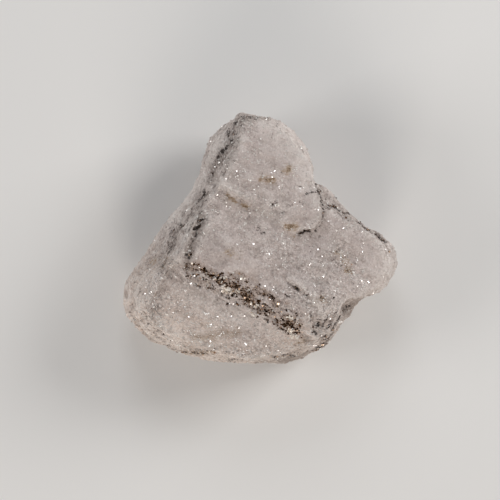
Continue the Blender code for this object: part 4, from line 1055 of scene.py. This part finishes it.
def scatterOver(surface, tree, name, material, settings, dropped):
    # crystals over the surface as one plain mesh, without the attributes that its material doesn't read
    obj = newObject(name, surface.data.copy())
    obj.data.materials.clear()
    modifier = obj.modifiers.new("scatter", "NODES")
    modifier.node_group = tree
    values = dict(settings, Material=material)
    for item in tree.interface.items_tree:
        if item.in_out == "INPUT" and item.name in values:
            modifier[item.identifier] = values[item.name]
    mesh = finishedMesh(obj)
    for layer in [found.name for found in mesh.attributes if found.name in dropped]:
        mesh.attributes.remove(mesh.attributes[layer])
    print(name, "triangles:", sum(len(face.vertices) - 2 for face in mesh.polygons))
    return obj


pyriteLook = {
    # painted glint: near-white cream for the brightest crystals
    "brightGlint": rgb(0.96, 0.90, 0.82),
    "brass": rgb(0.60, 0.43, 0.31),
    "brown": rgb(0.17, 0.090, 0.050),
    "tarnish": rgb(0.060, 0.030, 0.014),
    "roughness": 0.26,
}


def pyriteMaterial():
    look = pyriteLook
    material, start, shader = startMaterial("pyriteCrystals")
    place = start.node("ShaderNodeTexCoord", output=3)
    tone = attribute(start, "tone")
    veil = noiseOf(start, place, 0.6, 2.0, 0.6)
    colour = tone.between(0.35, 0.62).mix(look["tarnish"], look["brown"])
    colour = tone.between(0.58, 0.74).mix(colour, look["brass"])
    # the brightest crystals turn near-white with less metal, a painted glint
    colour = tone.between(0.84, 0.95).mix(colour, look["brightGlint"])
    colour = (veil.between(0.5, 0.75) * 0.5).mix(colour, look["tarnish"])
    plug(colour, shader, "Base Color")
    plug(1 - tone.between(0.7, 0.95) * 0.7, shader, "Metallic")
    plug(look["roughness"] + veil * 0.25 - tone * 0.10, shader, "Roughness")
    lines = noiseOf(start, place, 0.12, 1.0)
    bump = start.node("ShaderNodeBump", {}, {"Height": lines, "Strength": 0.25, "Distance": 0.03 * mm})
    plug(bump, shader, "Normal")
    return material


sparLook = {
    "dull": rgb(0.66, 0.61, 0.57),
    # clear: near-white cleavage faces, which also paint a glint
    "clear": rgb(0.97, 0.945, 0.90),
    "roughness": 0.16,
    "ior": 2.2,
    "reflection": 0.9,
}


def sparMaterial():
    look = sparLook
    material, start, shader = startMaterial("sparFacets")
    place = start.node("ShaderNodeTexCoord", output=3)
    tone = attribute(start, "tone")
    cloud = noiseOf(start, place, 0.4, 2.0)
    # from dull to near-white faces: the near-white ones are partly a painted glint, besides their real
    # reflections
    colour = tone.between(0.3, 1.0).mix(look["dull"], look["clear"])
    colour = (cloud * 0.4).mix(colour, look["dull"])
    plug(colour, shader, "Base Color")
    plug(look["roughness"] + cloud * 0.12, shader, "Roughness")
    shader.inputs["IOR"].default_value = look["ior"]
    shader.inputs["Specular IOR Level"].default_value = look["reflection"]
    return material


print("stage: crystals")
values = [layer.name for layer in stone.data.attributes if layer.data_type == "FLOAT"]
covers = [name for name in values if name.endswith("Cover")]
stoneValues = [name for name in values if name != "tone"]
tree = scatterTree()
pyriteFinish = pyriteMaterial()
pyriteShapes = crystalShapes("pyriteShape", seed=3, count=4, stretch=0.0, sunk=0.0)
pyrite = scatterOver(stone, tree, "pyrite_grains", pyriteFinish, {
    "Shapes": pyriteShapes,
    "Where": "grainCover",
    "Density": 2.2e7,
    "Smallest": 0.10 * mm,
    "Largest": 0.40 * mm,
    "Rarity": 2.4,
    "Tilt": 0.8,
    "Dullest": 0.0,
    "Brightest": 0.92,
    "Seed": 4,
}, stoneValues)
# bright pyrite that leans to catch the lamps and is painted near-white as a glint
clusters = scatterOver(stone, tree, "pyrite_clusters", pyriteFinish, {
    "Shapes": pyriteShapes,
    "Where": "clusterCover",
    "Density": 2.0e7,
    "Smallest": 0.20 * mm,
    "Largest": 0.46 * mm,
    "Rarity": 1.3,
    "Lean": 0.5,
    "Tilt": 0.2,
    "Dullest": 0.88,
    "Brightest": 1.0,
    "Seed": 6,
}, stoneValues)
sparFinish = sparMaterial()
sparShapes = crystalShapes("sparShape", seed=8, count=3, stretch=0.3, sunk=0.12)
# near-white facets at the glint places, tilted to catch the lamps and also painted as a glint
glints = scatterOver(stone, tree, "bright_facets", sparFinish, {
    "Shapes": sparShapes,
    "Where": "glintCover",
    "Density": 2.2e7,
    "Smallest": 0.16 * mm,
    "Largest": 0.32 * mm,
    "Rarity": 1.5,
    "Lean": 0.5,
    "Tilt": 0.15,
    "Dullest": 0.8,
    "Brightest": 1.0,
    "Seed": 9,
}, stoneValues)
spars = scatterOver(stone, tree, "spar_facets", sparFinish, {
    "Shapes": sparShapes,
    "Where": "sparCover",
    "Density": 2.5e6,
    "Smallest": 0.12 * mm,
    "Largest": 0.35 * mm,
    "Rarity": 2.2,
    "Tilt": 0.6,
    "Dullest": 0.0,
    "Brightest": 1.0,
    "Seed": 15,
}, stoneValues)
sugar = scatterOver(stone, tree, "sugar_grains", stoneFinish, {
    "Shapes": crystalShapes("sugarShape", seed=5, count=4, stretch=0.3, sunk=0.26, cutCorner=False),
    "Where": "sugarCover",
    "Density": 5.2e6,
    "Smallest": 0.20 * mm,
    "Largest": 0.56 * mm,
    "Rarity": 1.6,
    "Tilt": 0.5,
    "Dullest": 0.1,
    "Brightest": 0.9,
    "Seed": 21,
}, covers)

for layer in covers:
    stone.data.attributes.remove(stone.data.attributes[layer])

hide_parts("rock_matrix")
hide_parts("pyrite_band")
for piece, slotName in (
    (stone, "stone"), (sugar, "stone"), (spars, "stone"), (glints, "stone"),
    (pyrite, "pyrite"), (clusters, "pyrite"),
):
    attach(piece, "root")


print("stage: studio")
studio = {
    "floor": rgb(0.78, 0.775, 0.765),
    "floorReach": 3.0,
    "floorRoughness": 0.8,
    "world": rgb(0.86, 0.88, 0.92),
    "worldStrength": 0.14,
    "lens": 250.0,
    "sensor": 36.0,
    "frameWidth": 112.75 * mm,
    "frameCentre": (-2.37 * mm, -2.37 * mm),
    "outlineHeight": 9.0 * mm,
    "lampSize": 0.26,
    "lampAim": (0, 0, 0.015),
}
lamps = [
    # name, place in metres, power in watts, colour
    ("rightBox", (0.48, 0.26, 0.30), 2.35, (1.0, 0.985, 0.965)),
    ("leftBox", (-0.54, -0.05, 0.27), 1.32, (1.0, 0.975, 0.95)),
    ("lowFill", (0.0, -0.55, 0.24), 1.7, (1.0, 0.93, 0.86)),
    ("topFill", (-0.05, 0.50, 0.36), 0.8, (0.97, 0.98, 1.0)),
]


def buildStudio():
    work = bmesh.new()
    bmesh.ops.create_grid(work, x_segments=1, y_segments=1, size=studio["floorReach"])
    mesh = bpy.data.meshes.new("floor")
    work.to_mesh(mesh)
    work.free()
    floor = newObject("floor", mesh)
    material, _, shader = startMaterial("paleFloor")
    shader.inputs["Base Color"].default_value = studio["floor"]
    shader.inputs["Roughness"].default_value = studio["floorRoughness"]
    mesh.materials.append(material)

    world = bpy.data.worlds.new("studio")
    scene.world = world
    world.use_nodes = True
    sky = world.node_tree.nodes["Background"]
    sky.inputs[0].default_value = studio["world"]
    sky.inputs[1].default_value = studio["worldStrength"]

    for name, place, power, colour in lamps:
        light = bpy.data.lights.new(name, "AREA")
        light.shape = "SQUARE"
        light.size = studio["lampSize"]
        light.energy = power
        light.color = colour
        lamp = bpy.data.objects.new(name, light)
        lamp.location = place
        towards = Vector(studio["lampAim"]) - Vector(place)
        lamp.rotation_euler = towards.to_track_quat("-Z", "Y").to_euler()
        lamp.visible_camera = False
        scene.collection.objects.link(lamp)

    camera = bpy.data.cameras.new("camera")
    camera.lens = studio["lens"]
    camera.sensor_width = studio["sensor"]
    camera.clip_end = 20.0
    view = bpy.data.objects.new("camera", camera)
    away = studio["frameWidth"] * studio["lens"] / studio["sensor"]
    view.location = (*studio["frameCentre"], studio["outlineHeight"] + away)
    scene.collection.objects.link(view)
    scene.camera = view
    scene.view_settings.view_transform = "Standard"


buildStudio()
